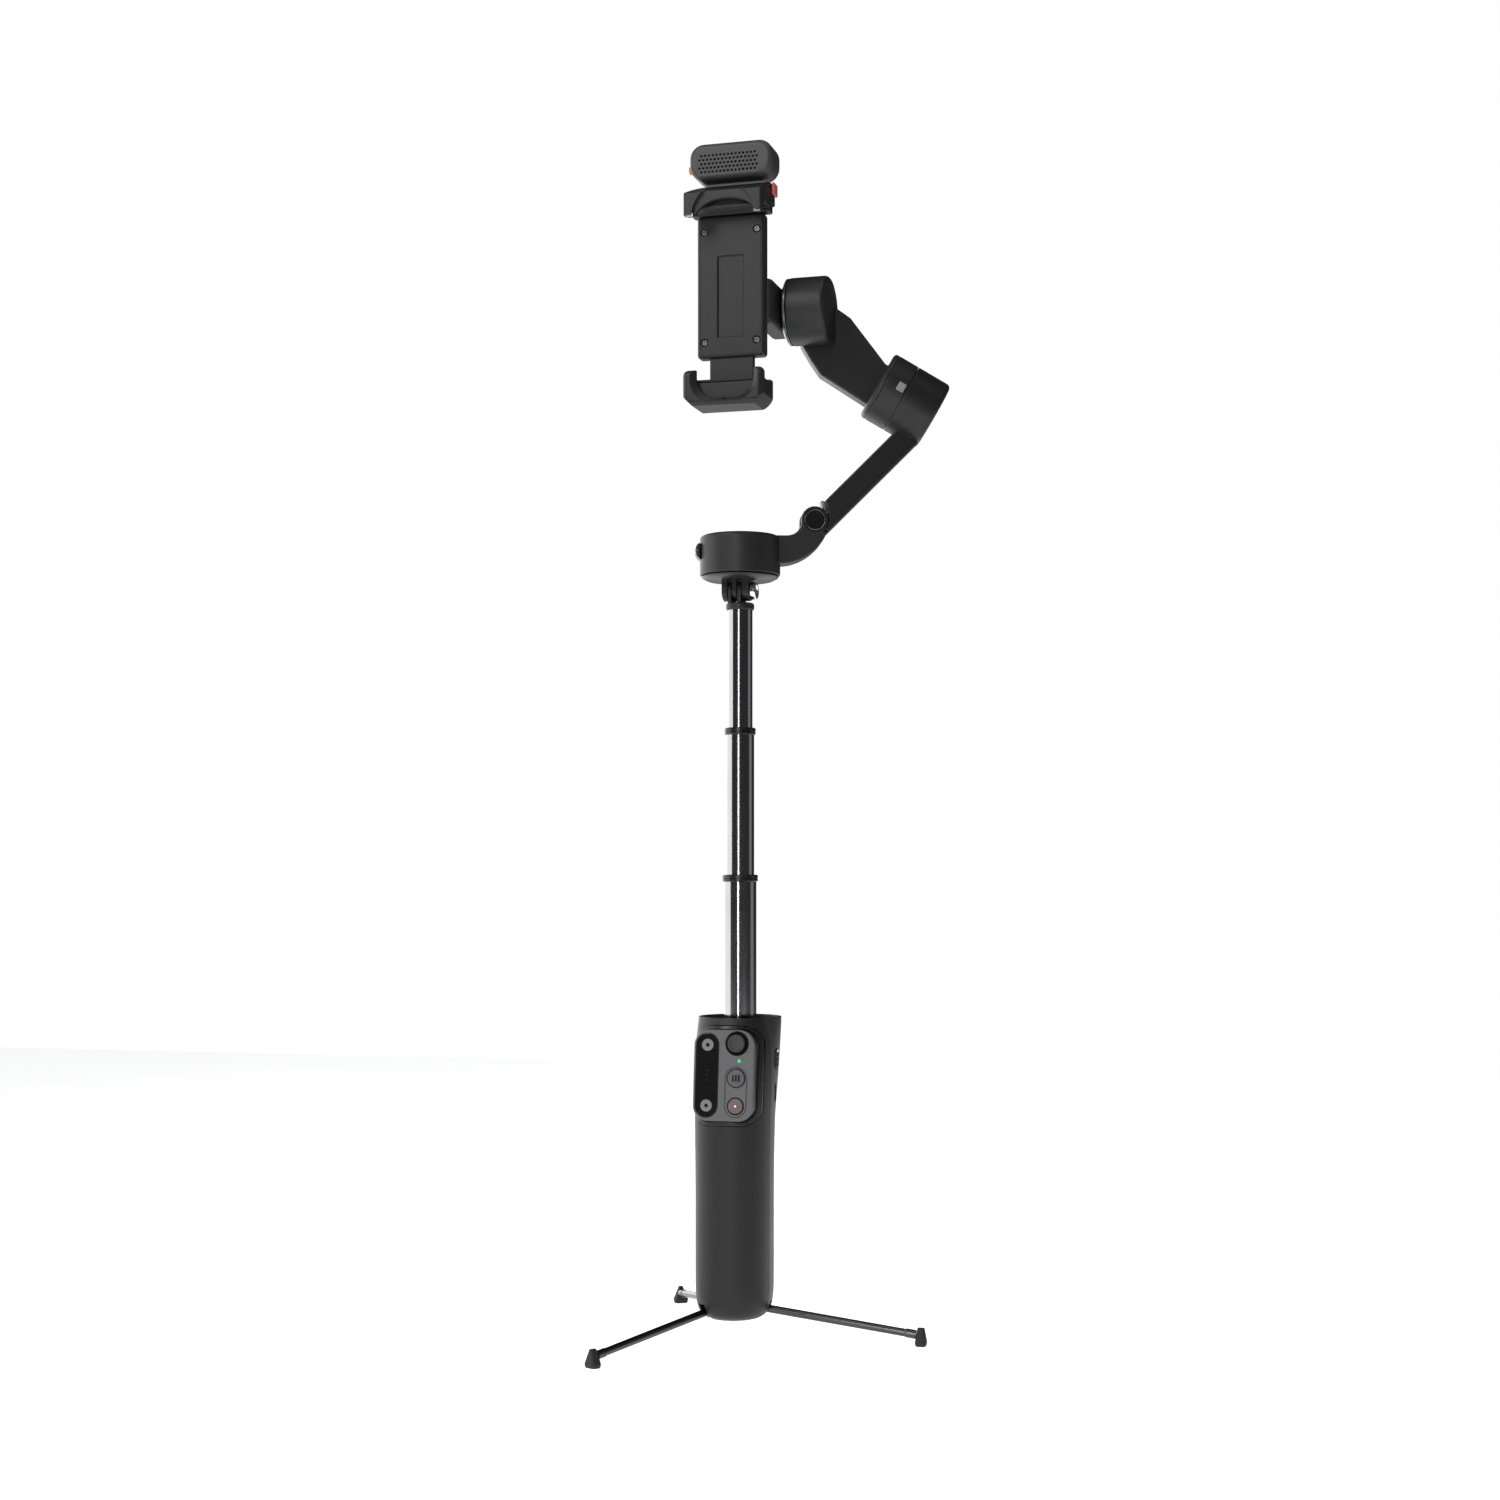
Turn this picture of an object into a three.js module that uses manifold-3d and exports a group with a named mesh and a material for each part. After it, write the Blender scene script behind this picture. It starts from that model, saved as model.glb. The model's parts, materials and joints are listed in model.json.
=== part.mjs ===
// Phone gimbal with an extension rod, a folding arm, a magnetic remote, a tracker and a tripod foot.
// Millimetres, +Z up. Origin: centre of the rod's axis on the handle's flat bottom face.
// +X is to the right seen from the front, -Y is towards the user.

import * as THREE from 'three';
import { mergeVertices } from 'three/addons/utils/BufferGeometryUtils.js';
import { RoundedBoxGeometry } from 'three/addons/geometries/RoundedBoxGeometry.js';
import Module from 'manifold-3d';

const wasm = await Module();
wasm.setup();

// ---------------------------------------------------------------- driving dimensions

const GAP = 0.3; // clearance between pieces that touch

const HANDLE_TOP = 134;
const HANDLE_WALL = 2;
const HANDLE_SHIFT = -8.5; // the grip's section lies in front of the rod's axis
const SHELL_SEAM_Y = -12;
const CUP_FLOOR = 118;

const SLEEVE = { outer: 8.6, inner: 7.65, bottom: 24 };
const LOWER_ROD = { outer: 7.4, inner: 6.65, bottom: 103, top: 195 };
const MIDDLE_ROD = { outer: 6.4, inner: 5.9, bottom: 183, top: 261.5 };
const UPPER_ROD = { outer: 5.65, inner: 4.6, bottom: 250, top: 318 };
const COLLAR_HEIGHT = 2.8;

const FORK_Z = 326.6;
const FORK_RADIUS = 4.5;
const FORK_PIN_RADIUS = 2;
const HEAD_LOBES = [[-7.6, -4.9], [-2.6, -0.5], [1.9, 5.2]];
const ROD_PRONGS = [[-4.6, -2.9], [-0.2, 1.6]];

const PAN = { radius: 18.2, bottom: 333.6, top: 351.6, cavity: 15.2 };
const HEAD_PLATE = { bottom: 331.4, top: 333.2, radius: 17.4 };

const ARM_YAW = THREE.MathUtils.degToRad(20);
const ARM_HALF = 6; // half of the arm's thickness
const FOLD = { s: 33.6, z: 358.6, cheek: 6.2, tongue: 5.8, half: 2.2 };
const BAR = { low: -8.1, high: 2.9, end: 58 };

const ROLL = { s: 73.6, z: 415.2, radius: 16, inner: 12.5, outer: 17 };
const ROLL_DROP = THREE.MathUtils.degToRad(29.5);

const TILT = { y: 2, z: 452, radius: 15, left: 24.3, right: 42 };

const CLAMP = { x: 3, half: 18, slotFront: -35.7, slotBack: -26.2, back: -19.3, front: -39.2 };
const PHONE_GAP = { low: 416, high: 490.5 };
const UPPER_JAW = { bottom: 487.2, top: 504.9, frontTop: 497 };
const JAW_SLOPE = THREE.MathUtils.degToRad(22.4);
const LOWER_JAW = { bottom: 403.5, top: 419.5, chamfer: 4.5 };

const TRACKER = { x: 4, y: -22, width: 38, depth: 16, bottom: 505.2, height: 16 };
const PANEL = { x: 3, z: 512, width: 29, height: 10.8 };

const REMOTE = { y: -27, z: 109.3, width: 27.8, height: 40.4, depth: 8.2, radius: 7 };
const REMOTE_LEAN = THREE.MathUtils.degToRad(5.7);

const HUB = { x: -2, y: -6.5, radius: 9.5, top: 12 };
const LEG = { hingeR: 6.6, hingeZ: 4.5, radius: 1.75, footR: 86, footZ: -5.9, eye: 2.2, turn: 3 };
const FLOOR_Z = -10.5;
const FOOT = { depth: 5.2, width: 7, crown: 1.8, height: 8 };

// ---------------------------------------------------------------- materials

const paint = (color, roughness, metalness) => () => (
  new THREE.MeshStandardMaterial({ color, roughness, metalness }));
const darkPlastic = paint(0x2e2f31, 0.55, 0);
const softGrip = paint(0x232425, 0.75, 0);
const greyPlastic = paint(0x8b8c8e, 0.5, 0);
const blackGloss = paint(0x101113, 0.12, 0.1);
const blackMetal = paint(0x1b1c1e, 0.2, 0.9);
const darkMetal = paint(0x3a3b3d, 0.3, 0.9);
const brightMetal = paint(0xc9cbce, 0.15, 1);
const copper = paint(0xb06a3a, 0.35, 0.9);
const boardGreen = paint(0x1f5a3a, 0.6, 0);
const rubber = paint(0x191a1b, 0.9, 0);
const trackerGrey = paint(0x46474a, 0.5, 0);
const orange = paint(0xd9642a, 0.45, 0);
const accentRed = paint(0xd0405a, 0.45, 0);
const lampGreen = paint(0x43d66b, 0.3, 0);
const cellBlue = paint(0x3c6fb0, 0.5, 0);
const recordPink = paint(0xb98f92, 0.45, 0);

// ---------------------------------------------------------------- solids

// Signed volume of an indexed triangle mesh: it is negative when the faces point in.
function signedVolume(position, index) {
  const corners = [new THREE.Vector3(), new THREE.Vector3(), new THREE.Vector3()];
  let volume = 0;
  for (let i = 0; i < index.length; i += 3) {
    corners.forEach((corner, k) => corner.fromArray(position, index[i + k] * 3));
    volume += corners[0].dot(corners[1].cross(corners[2])) / 6;
  }
  return volume;
}

// A closed geometry as a solid that can be joined and cut.
function solid(geometry) {
  const bare = geometry.clone();
  const extra = Object.keys(bare.attributes).filter((name) => name !== 'position');
  extra.forEach((name) => bare.deleteAttribute(name));
  const merged = mergeVertices(bare, 1e-4);
  const position = new Float32Array(merged.attributes.position.array);
  const faces = [];
  for (let i = 0; i < merged.index.count; i += 3) {
    const [a, b, c] = [0, 1, 2].map((k) => merged.index.getX(i + k));
    if (a !== b && b !== c && a !== c) {
      faces.push(a, b, c);
    }
  }
  const facesOut = signedVolume(position, faces) > 0;
  const triVerts = new Uint32Array(facesOut ? faces : faces.reverse());
  return new wasm.Manifold(new wasm.Mesh({ numProp: 3, vertProperties: position, triVerts }));
}

function fromSolid(shape) {
  const mesh = shape.getMesh();
  const geometry = new THREE.BufferGeometry();
  geometry.setAttribute('position', new THREE.BufferAttribute(new Float32Array(mesh.vertProperties), 3));
  geometry.setIndex(new THREE.BufferAttribute(new Uint32Array(mesh.triVerts), 1));
  return geometry;
}

const join = (...parts) => fromSolid(parts.map(solid).reduce((all, part) => all.add(part)));
const cut = (base, ...tools) => fromSolid(
  tools.map(solid).reduce((rest, tool) => rest.subtract(tool), solid(base)));
const overlapOf = (first, second) => fromSolid(solid(first).intersect(solid(second)));

// ---------------------------------------------------------------- basic shapes

const box = (x, y, z) => new THREE.BoxGeometry(x[1] - x[0], y[1] - y[0], z[1] - z[0])
  .translate((x[0] + x[1]) / 2, (y[0] + y[1]) / 2, (z[0] + z[1]) / 2);

const ROUNDED_STEPS = 2;
const roundedBox = (x, y, z, radius) => (
  new RoundedBoxGeometry(x[1] - x[0], y[1] - y[0], z[1] - z[0], ROUNDED_STEPS, radius)
).translate((x[0] + x[1]) / 2, (y[0] + y[1]) / 2, (z[0] + z[1]) / 2);

// Cylinders between two stations along Z, X or Y.
const rodZ = (radius, low, high, sides = 20) => (
  new THREE.CylinderGeometry(radius, radius, high - low, sides)
).rotateX(Math.PI / 2).translate(0, 0, (low + high) / 2);
const rodX = (radius, low, high, sides = 20) => rodZ(radius, low, high, sides).rotateY(Math.PI / 2);
const rodY = (radius, low, high, sides = 20) => rodZ(radius, -high, -low, sides).rotateX(Math.PI / 2);

// A turned piece about Z, from [radius, height] points; a ring's profile closes on itself.
function turned(profile, sides = 20) {
  const points = profile.map(([radius, height]) => new THREE.Vector2(radius, height));
  return new THREE.LatheGeometry(points, sides).rotateX(Math.PI / 2);
}

const ring = (outer, inner, low, high, sides = 20) => turned(
  [[inner, low], [outer, low], [outer, high], [inner, high], [inner, low]], sides);

function roundedRect(width, height, radius) {
  const [x, y] = [width / 2 - radius, height / 2 - radius];
  const shape = new THREE.Shape();
  shape.absarc(x, y, radius, 0, Math.PI / 2);
  shape.absarc(-x, y, radius, Math.PI / 2, Math.PI);
  shape.absarc(-x, -y, radius, Math.PI, Math.PI * 1.5);
  shape.absarc(x, -y, radius, Math.PI * 1.5, Math.PI * 2);
  shape.closePath();
  return shape;
}

const polygon = (points) => new THREE.Shape(points.map(([x, y]) => new THREE.Vector2(x, y)));

function extruded(shape, depth, bevel = 0, curveSegments = 4) {
  return new THREE.ExtrudeGeometry(shape, {
    depth: depth - 2 * bevel,
    curveSegments,
    bevelEnabled: bevel > 0,
    bevelThickness: bevel,
    bevelSize: bevel,
    bevelOffset: -bevel,
    bevelSegments: 1,
  }).translate(0, 0, bevel);
}

// An outline in X and Z, extruded along Y between two stations.
const upright = (shape, low, high, bevel = 0) => extruded(shape, high - low, bevel)
  .rotateX(Math.PI / 2).translate(0, high, 0);

// A closed skin over stacked superellipse sections: { z, y, hx, hy, power }.
function loft(sections, sides = 36) {
  const positions = [];
  const index = [];
  const lobe = (value, power) => Math.sign(value) * Math.abs(value) ** (2 / power);
  sections.forEach(({ z, y, hx, hy, power }) => {
    for (let i = 0; i < sides; i += 1) {
      const angle = (i / sides) * Math.PI * 2;
      positions.push(hx * lobe(Math.cos(angle), power), y + hy * lobe(Math.sin(angle), power), z);
    }
  });
  for (let level = 0; level < sections.length - 1; level += 1) {
    for (let i = 0; i < sides; i += 1) {
      const next = (i + 1) % sides;
      const [a, b] = [level * sides + i, level * sides + next];
      index.push(a, b, b + sides, a, b + sides, a + sides);
    }
  }
  const last = (sections.length - 1) * sides;
  for (let i = 1; i < sides - 1; i += 1) {
    index.push(0, i + 1, i, last, last + i, last + i + 1);
  }
  const geometry = new THREE.BufferGeometry();
  geometry.setAttribute('position', new THREE.Float32BufferAttribute(positions, 3));
  geometry.setIndex(index);
  return geometry;
}

// ---------------------------------------------------------------- scene graph

const group = new THREE.Group();

function piece(parent, name, geometry, material) {
  const mesh = new THREE.Mesh(fromSolid(solid(geometry)), material());
  mesh.name = name;
  parent.add(mesh);
  return mesh;
}

const frameOf = (parent, position, rotation) => {
  const frame = new THREE.Group();
  frame.position.set(...position);
  frame.rotation.set(...rotation);
  parent.add(frame);
  return frame;
};

const remoteFrame = frameOf(group, [0, REMOTE.y, REMOTE.z], [-REMOTE_LEAN, 0, 0]);
const armFrame = frameOf(group, [0, 0, 0], [0, 0, ARM_YAW]);
const rollFrame = frameOf(armFrame, [ROLL.s, 0, ROLL.z], [0, ROLL_DROP, 0]);
group.updateMatrixWorld(true);

const toRoll = rollFrame.matrixWorld.clone().invert();
const rollToArm = rollFrame.matrix.clone();
const remoteToWorld = remoteFrame.matrixWorld.clone();

// ---------------------------------------------------------------- handle

const HANDLE_SECTIONS = [
  { z: 0, y: HANDLE_SHIFT, hx: 12.2, hy: 14, power: 2.1 },
  { z: 1.2, y: HANDLE_SHIFT, hx: 14.1, hy: 16.2, power: 2.15 },
  { z: 4, y: HANDLE_SHIFT, hx: 15.8, hy: 18.4, power: 2.2 },
  { z: 8, y: HANDLE_SHIFT, hx: 16.6, hy: 19.5, power: 2.3 },
  { z: 14, y: HANDLE_SHIFT, hx: 16.9, hy: 20, power: 2.35 },
  { z: 60, y: HANDLE_SHIFT, hx: 17, hy: 20, power: 2.35 },
  { z: 88, y: -8.2, hx: 17.4, hy: 20.4, power: 2.35 },
  { z: 100, y: -7, hx: 17.9, hy: 21.2, power: 2.3 },
  { z: 112, y: -5, hx: 18.3, hy: 21.6, power: 2.25 },
  { z: 122, y: -3, hx: 18.6, hy: 21, power: 2.15 },
  { z: 129, y: -1.2, hx: 18.75, hy: 19.8, power: 2.05 },
  { z: HANDLE_TOP, y: 0, hx: 18.75, hy: 18.75, power: 2 },
];

const grown = (sections, by) => sections.map((s) => ({ ...s, hx: s.hx + by, hy: s.hy + by }));

function handleCavity() {
  const low = { ...HANDLE_SECTIONS[2], z: 3 };
  const high = { ...HANDLE_SECTIONS.at(-1), z: HANDLE_TOP + 1 };
  return loft(grown([low, ...HANDLE_SECTIONS.slice(3, -1), high], -HANDLE_WALL));
}

// Radial slots in which the three legs swing.
const legAngles = [0, 120, 240].map((degrees) => THREE.MathUtils.degToRad(degrees + LEG.turn));
const legSlots = (inner, outer) => legAngles.map((angle) => box([inner, outer], [-2.2, 2.2], [-5, 7])
  .rotateZ(angle).translate(HUB.x, HUB.y, 0));

const dockOutline = (margin) => roundedRect(
  REMOTE.width + 2 * margin, REMOTE.height + 2 * margin, REMOTE.radius + margin);
const DOCK_MARGIN = 2;
const dockWindow = upright(dockOutline(DOCK_MARGIN + GAP), -8, 14).applyMatrix4(remoteToWorld);

const KEY = { y: -5, z: 115.5, width: 4.2, height: 9, inside: 16.9, outside: 19.4 };
const PORT = { y: -5, z: 100.4, width: 3.2, height: 9 };
const stadium = (width, height) => roundedRect(height, width, width / 2 - 0.05);
const sideSlot = (width, height, low, high) => extruded(stadium(width, height), high - low)
  .rotateY(Math.PI / 2).translate(low, 0, 0);

function handleShell() {
  const skin = cut(loft(HANDLE_SECTIONS), handleCavity());
  return cut(
    skin,
    dockWindow,
    rodZ(HUB.radius + GAP, -1, 5).translate(HUB.x, HUB.y, 0),
    ...legSlots(HUB.radius - 2, 30),
    sideSlot(KEY.width + 2 * GAP, KEY.height + 2 * GAP, 10, 25).translate(0, KEY.y, KEY.z),
    sideSlot(PORT.width + 2 * GAP, PORT.height + 2 * GAP, 10, 25).translate(0, PORT.y, PORT.z),
  );
}

const shell = handleShell();
const frontHalf = box([-40, 40], [-60, SHELL_SEAM_Y - GAP / 2], [-5, 140]);
const rearHalf = box([-40, 40], [SHELL_SEAM_Y + GAP / 2, 60], [-5, 140]);
piece(group, 'handle_front_shell', overlapOf(shell, frontHalf), softGrip);
piece(group, 'handle_rear_shell', overlapOf(shell, rearHalf), darkPlastic);

// The floor of the cup round the rod, with the raised collar that the lower tube runs through.
function cupFloor() {
  const floor = loft([CUP_FLOOR - 1.6, CUP_FLOOR].map((z) => ({ z, y: 0, hx: 15.3, hy: 14.6, power: 2 })));
  const collar = rodZ(10.2, CUP_FLOOR - 1, CUP_FLOOR + 2.2);
  const sleeveSeat = rodZ(SLEEVE.outer + GAP, CUP_FLOOR - 5, CUP_FLOOR + GAP);
  return cut(join(floor, collar), sleeveSeat, rodZ(SLEEVE.inner, 100, 130));
}
piece(group, 'cup_floor', cupFloor(), darkMetal);
piece(group, 'rod_sleeve', ring(SLEEVE.outer, SLEEVE.inner, SLEEVE.bottom, CUP_FLOOR), blackMetal);
piece(group, 'battery_cell', rodZ(7, 14, 64, 20).translate(0, -17.6, 0), cellBlue);
piece(group, 'main_board', box([-10.5, 10.5], [-12.6, -11], [68, 113]), boardGreen);

const portShell = cut(
  sideSlot(PORT.width, PORT.height, 12, 17.9),
  sideSlot(PORT.width - 0.8, PORT.height - 0.8, 13, 19),
);
piece(group, 'usb_port', portShell.translate(0, PORT.y, PORT.z), brightMetal);
const powerKey = sideSlot(KEY.width, KEY.height, KEY.inside, KEY.outside).translate(0, KEY.y, KEY.z);
piece(group, 'power_key', powerKey, darkPlastic);

function dockFrame() {
  const tray = cut(
    upright(dockOutline(DOCK_MARGIN), -2, REMOTE.depth + 1.8),
    upright(dockOutline(GAP), -4, REMOTE.depth + GAP),
  ).applyMatrix4(remoteToWorld);
  return overlapOf(tray, loft(grown(HANDLE_SECTIONS, 0.4)));
}
piece(group, 'dock_frame', dockFrame(), greyPlastic);

// ---------------------------------------------------------------- tripod

const pinHoles = (radius) => legAngles.map((angle) => rodY(radius, -4.5, 4.5, 12)
  .translate(LEG.hingeR, 0, LEG.hingeZ).rotateZ(angle).translate(HUB.x, HUB.y, 0));

const hubBody = rodZ(HUB.radius, 0, HUB.top, 36).translate(HUB.x, HUB.y, 0);
piece(group, 'tripod_hub', cut(hubBody, ...legSlots(3.8, 20), ...pinHoles(1.3)), darkPlastic);

const legDroop = Math.atan2(LEG.hingeZ - LEG.footZ, LEG.footR - LEG.hingeR);
const legReach = (LEG.footR - FOOT.depth / 2 - GAP - LEG.hingeR) / Math.cos(legDroop);

function legBar() {
  const eye = rodY(LEG.eye, -1.8, 1.8, 20);
  return cut(join(eye, rodX(LEG.radius, 0.5, legReach - 1, 16)), rodY(1.3, -4, 4, 12));
}

function footWedge() {
  const half = FOOT.width / 2;
  const crown = FOOT.crown / 2;
  const outline = polygon([
    [-half, 0], [half, 0], [half, 1], [crown, FOOT.height], [-crown, FOOT.height], [-half, 1],
  ]);
  return upright(outline, -FOOT.depth / 2, FOOT.depth / 2).rotateZ(Math.PI / 2);
}

legAngles.forEach((angle, k) => {
  const legAzimuth = frameOf(group, [HUB.x, HUB.y, 0], [0, 0, angle]);
  const legFrame = frameOf(legAzimuth, [LEG.hingeR, 0, LEG.hingeZ], [0, legDroop, 0]);
  piece(legFrame, `leg_${k + 1}`, legBar(), blackMetal);
  piece(legFrame, `leg_pin_${k + 1}`, rodY(1, -4.2, 4.2, 12), brightMetal);
  const foot = piece(legAzimuth, `foot_${k + 1}`, footWedge(), rubber);
  foot.position.set(LEG.footR, 0, FLOOR_Z);
});

// ---------------------------------------------------------------- remote

const JOYSTICK = { x: 5.9, z: 14.2, well: 5.5, cap: 4.4 };
const MODE = { x: 5.9, z: -1.1, radius: 4.2 };
const RECORD = { x: 5.9, z: -13.4, radius: 3.5 };
const STRIP = { x: -7.6, width: 10.4, height: 37.2 };
const LAMP = { x: 7.1, z: 6.5, radius: 0.9 };

function remoteShell() {
  const outer = upright(roundedRect(REMOTE.width, REMOTE.height, REMOTE.radius), 0, 5.6, 0.6);
  const hollow = upright(roundedRect(REMOTE.width - 2.6, REMOTE.height - 2.6, REMOTE.radius - 1.3), 1.5, 7);
  const strip = upright(roundedRect(STRIP.width + 0.5, STRIP.height + 0.5, STRIP.width / 2 + 0.2), -1, 3);
  return cut(
    outer,
    hollow,
    strip.translate(STRIP.x, 0, 0),
    rodY(JOYSTICK.well, -1, 3).translate(JOYSTICK.x, 0, JOYSTICK.z),
    rodY(MODE.radius + GAP, -1, 3).translate(MODE.x, 0, MODE.z),
    rodY(RECORD.radius + GAP, -1, 3).translate(RECORD.x, 0, RECORD.z),
    rodY(LAMP.radius + 0.2, -1, 3, 12).translate(LAMP.x, 0, LAMP.z),
  );
}

const remoteBack = upright(roundedRect(REMOTE.width, REMOTE.height, REMOTE.radius), 5.9, REMOTE.depth, 0.5);
piece(remoteFrame, 'remote_shell', remoteShell(), greyPlastic);
piece(remoteFrame, 'remote_back', remoteBack, darkPlastic);
piece(remoteFrame, 'remote_board', box([-10, 10], [4.4, 5.5], [-16.5, 16.5]), boardGreen);

const strip = upright(roundedRect(STRIP.width, STRIP.height, STRIP.width / 2 - 0.05), 0.15, 1.7);
piece(remoteFrame, 'touch_strip', strip.translate(STRIP.x, 0, 0), blackGloss);
piece(remoteFrame, 'status_lamp', rodY(LAMP.radius, -0.1, 1.7, 12).translate(LAMP.x, 0, LAMP.z), lampGreen);

const button = (radius, proud) => turned([
  [0, 3.6], [radius - 1.2, 3.6], [radius - 1.2, 2.2], [radius, 2.2],
  [radius, -proud + 0.4], [radius - 0.5, -proud], [0, -proud],
]).rotateX(-Math.PI / 2);
piece(remoteFrame, 'mode_button', button(MODE.radius, 0.5).translate(MODE.x, 0, MODE.z), greyPlastic);
const recordButton = button(RECORD.radius, 0.5).translate(RECORD.x, 0, RECORD.z);
piece(remoteFrame, 'record_button', recordButton, recordPink);

// The joystick: a ring that rocks about X carries the cap, which rocks about Z.
const stickRing = ring(3.6, 2.5, -0.5, 0.5, 20).rotateX(Math.PI / 2).translate(0, 3.3, 0);
const stickCap = turned([
  [0, 3.9], [1.9, 3.9], [1.9, 1.8], [1.6, 1.2], [1.6, 0], [JOYSTICK.cap - 0.5, 0],
  [JOYSTICK.cap, -0.6], [JOYSTICK.cap, -1.4], [JOYSTICK.cap - 0.6, -1.9], [0, -1.6],
]).rotateX(-Math.PI / 2);
piece(remoteFrame, 'joystick_ring', stickRing.translate(JOYSTICK.x, 0, JOYSTICK.z), darkMetal);
piece(remoteFrame, 'joystick_cap', stickCap.translate(JOYSTICK.x, 0, JOYSTICK.z), blackGloss);

// ---------------------------------------------------------------- extension rod

const tube = ({ outer, inner, bottom, top }) => ring(outer, inner, bottom, top);
const collarOn = (rod, radius) => ring(radius, rod.inner, rod.top + GAP, rod.top + GAP + COLLAR_HEIGHT);
piece(group, 'lower_tube', tube(LOWER_ROD), blackMetal);
piece(group, 'lower_collar', collarOn(LOWER_ROD, 8.1), darkMetal);
piece(group, 'middle_tube', tube(MIDDLE_ROD), blackMetal);
piece(group, 'middle_collar', collarOn(MIDDLE_ROD, 7.1), darkMetal);
piece(group, 'upper_tube', tube(UPPER_ROD), blackMetal);

// A fork prong between two stations along X, from a base up or down to the fork's axis.
function prong([low, high], baseZ) {
  const [bottom, top] = [Math.min(baseZ, FORK_Z), Math.max(baseZ, FORK_Z)];
  return join(
    rodX(FORK_RADIUS, low, high, 20).translate(0, 0, FORK_Z),
    box([low, high], [-FORK_RADIUS + 0.05, FORK_RADIUS - 0.05], [bottom, top]),
  );
}

function rodFork() {
  const base = UPPER_ROD.top + GAP;
  const collar = turned([
    [0, base], [6, base], [6.4, base + 0.5], [6.4, base + 2.3], [5.8, base + 2.9], [0, base + 2.9],
  ]);
  const prongs = ROD_PRONGS.map((span) => prong(span, base + 1));
  return cut(join(collar, ...prongs), rodX(FORK_PIN_RADIUS + GAP, -12, 12, 20).translate(0, 0, FORK_Z));
}
piece(group, 'rod_fork', rodFork(), blackMetal);

// ---------------------------------------------------------------- head

function headBase() {
  const { bottom, top, radius } = HEAD_PLATE;
  const rim = [[radius - 2, bottom], [radius, top - 0.6], [radius, top]];
  const plate = turned([[0, bottom], ...rim, [0, top]], 36);
  const lobes = HEAD_LOBES.map((span) => prong(span, HEAD_PLATE.bottom + 0.5));
  return cut(
    join(plate, ...lobes),
    rodX(FORK_PIN_RADIUS + GAP, -12, 12, 20).translate(0, 0, FORK_Z),
    rodX(3.4, -9, HEAD_LOBES[0][0] + 1.8, 6).translate(0, 0, FORK_Z),
  );
}
piece(group, 'head_base', headBase(), darkPlastic);

const pinHead = rodX(4, 5.5, 7.9, 32);
const forkPin = join(rodX(FORK_PIN_RADIUS, -7.2, 5.7, 20), pinHead).translate(0, 0, FORK_Z);
piece(group, 'fork_pin', forkPin, brightMetal);
const nut = cut(rodX(3, -7.5, -6.1, 6), rodX(FORK_PIN_RADIUS + GAP, -9, -5, 20));
piece(group, 'fork_nut', nut.translate(0, 0, FORK_Z), brightMetal);

const panStator = turned([
  [0, 333.5], [5, 333.5], [5, 337], [11.4, 337], [11.4, 346], [4, 346], [4, 349.2], [0, 349.2],
]);
piece(group, 'pan_stator', panStator, copper);

// ---------------------------------------------------------------- pan housing and lower arm

// The lower arm's outline in the arm's plane, from under the housing up to the fold's axis.
function lowerArmOutline() {
  const shape = new THREE.Shape();
  shape.moveTo(6, 338.6);
  shape.lineTo(18, 338.6);
  shape.bezierCurveTo(27, 338.6, 36, 345, 38.9, 352.7);
  shape.lineTo(FOLD.s, FOLD.z);
  shape.lineTo(27.6, 357);
  shape.quadraticCurveTo(26.2, PAN.top - 0.2, 21.5, PAN.top - 0.2);
  shape.lineTo(6, PAN.top - 0.2);
  shape.closePath();
  return shape;
}

const foldAxis = (radius, low, high, sides = 24) => rodY(radius, low, high, sides)
  .translate(FOLD.s, 0, FOLD.z);

function panHousing() {
  const { radius, bottom, top, cavity } = PAN;
  const drum = turned([[0, bottom], [radius - 0.4, bottom], [radius, bottom + 0.4], [radius, top - 1.4],
    [radius - 0.5, top - 0.4], [radius - 1.6, top], [0, top]], 36);
  const blade = upright(lowerArmOutline(), -ARM_HALF, ARM_HALF);
  const arm = join(blade, foldAxis(FOLD.cheek, -ARM_HALF, ARM_HALF));
  return cut(
    join(drum, arm),
    rodZ(cavity, bottom - 1, top - 2, 36),
    foldAxis(FOLD.cheek + 0.5, -FOLD.half - GAP, FOLD.half + GAP),
    foldAxis(2.3, -10, 10, 20),
    foldAxis(5.2, -ARM_HALF - 1, -ARM_HALF + 0.9),
  );
}
piece(armFrame, 'pan_housing', panHousing(), darkPlastic);
piece(armFrame, 'pan_rotor', ring(PAN.cavity - GAP, 12.3, 335, 348, 36), darkMetal);

const catchShape = polygon([[0, -4], [2, -1], [2, 2.5], [0, 3.5]]);
const foldCatch = upright(catchShape, -4, 4).scale(-1, 1, 1).translate(-PAN.radius - GAP, 0, 344.5);
piece(armFrame, 'fold_catch', foldCatch, darkPlastic);

piece(armFrame, 'fold_pin', foldAxis(2, -ARM_HALF + 1.3, ARM_HALF - 0.5, 20), brightMetal);
const capProfile = [[0, 0], [4.9, 0], [4.9, 1], [4.5, 1.5], [0, 1.5]];
const foldCap = turned(capProfile, 32).rotateX(Math.PI / 2).translate(FOLD.s, -ARM_HALF + 0.9, FOLD.z);
piece(armFrame, 'fold_cap', foldCap, darkMetal);

// ---------------------------------------------------------------- upper arm with the roll motor's outer half

// The bar's outline along (u) and across (v) its own length, from the fold's axis.
function barOutline() {
  const { low, high, end } = BAR;
  return polygon([[0.4, low], [end, low], [end, high], [9.3, high], [6.6, -1.4], [0.4, -1.4]]);
}

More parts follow.
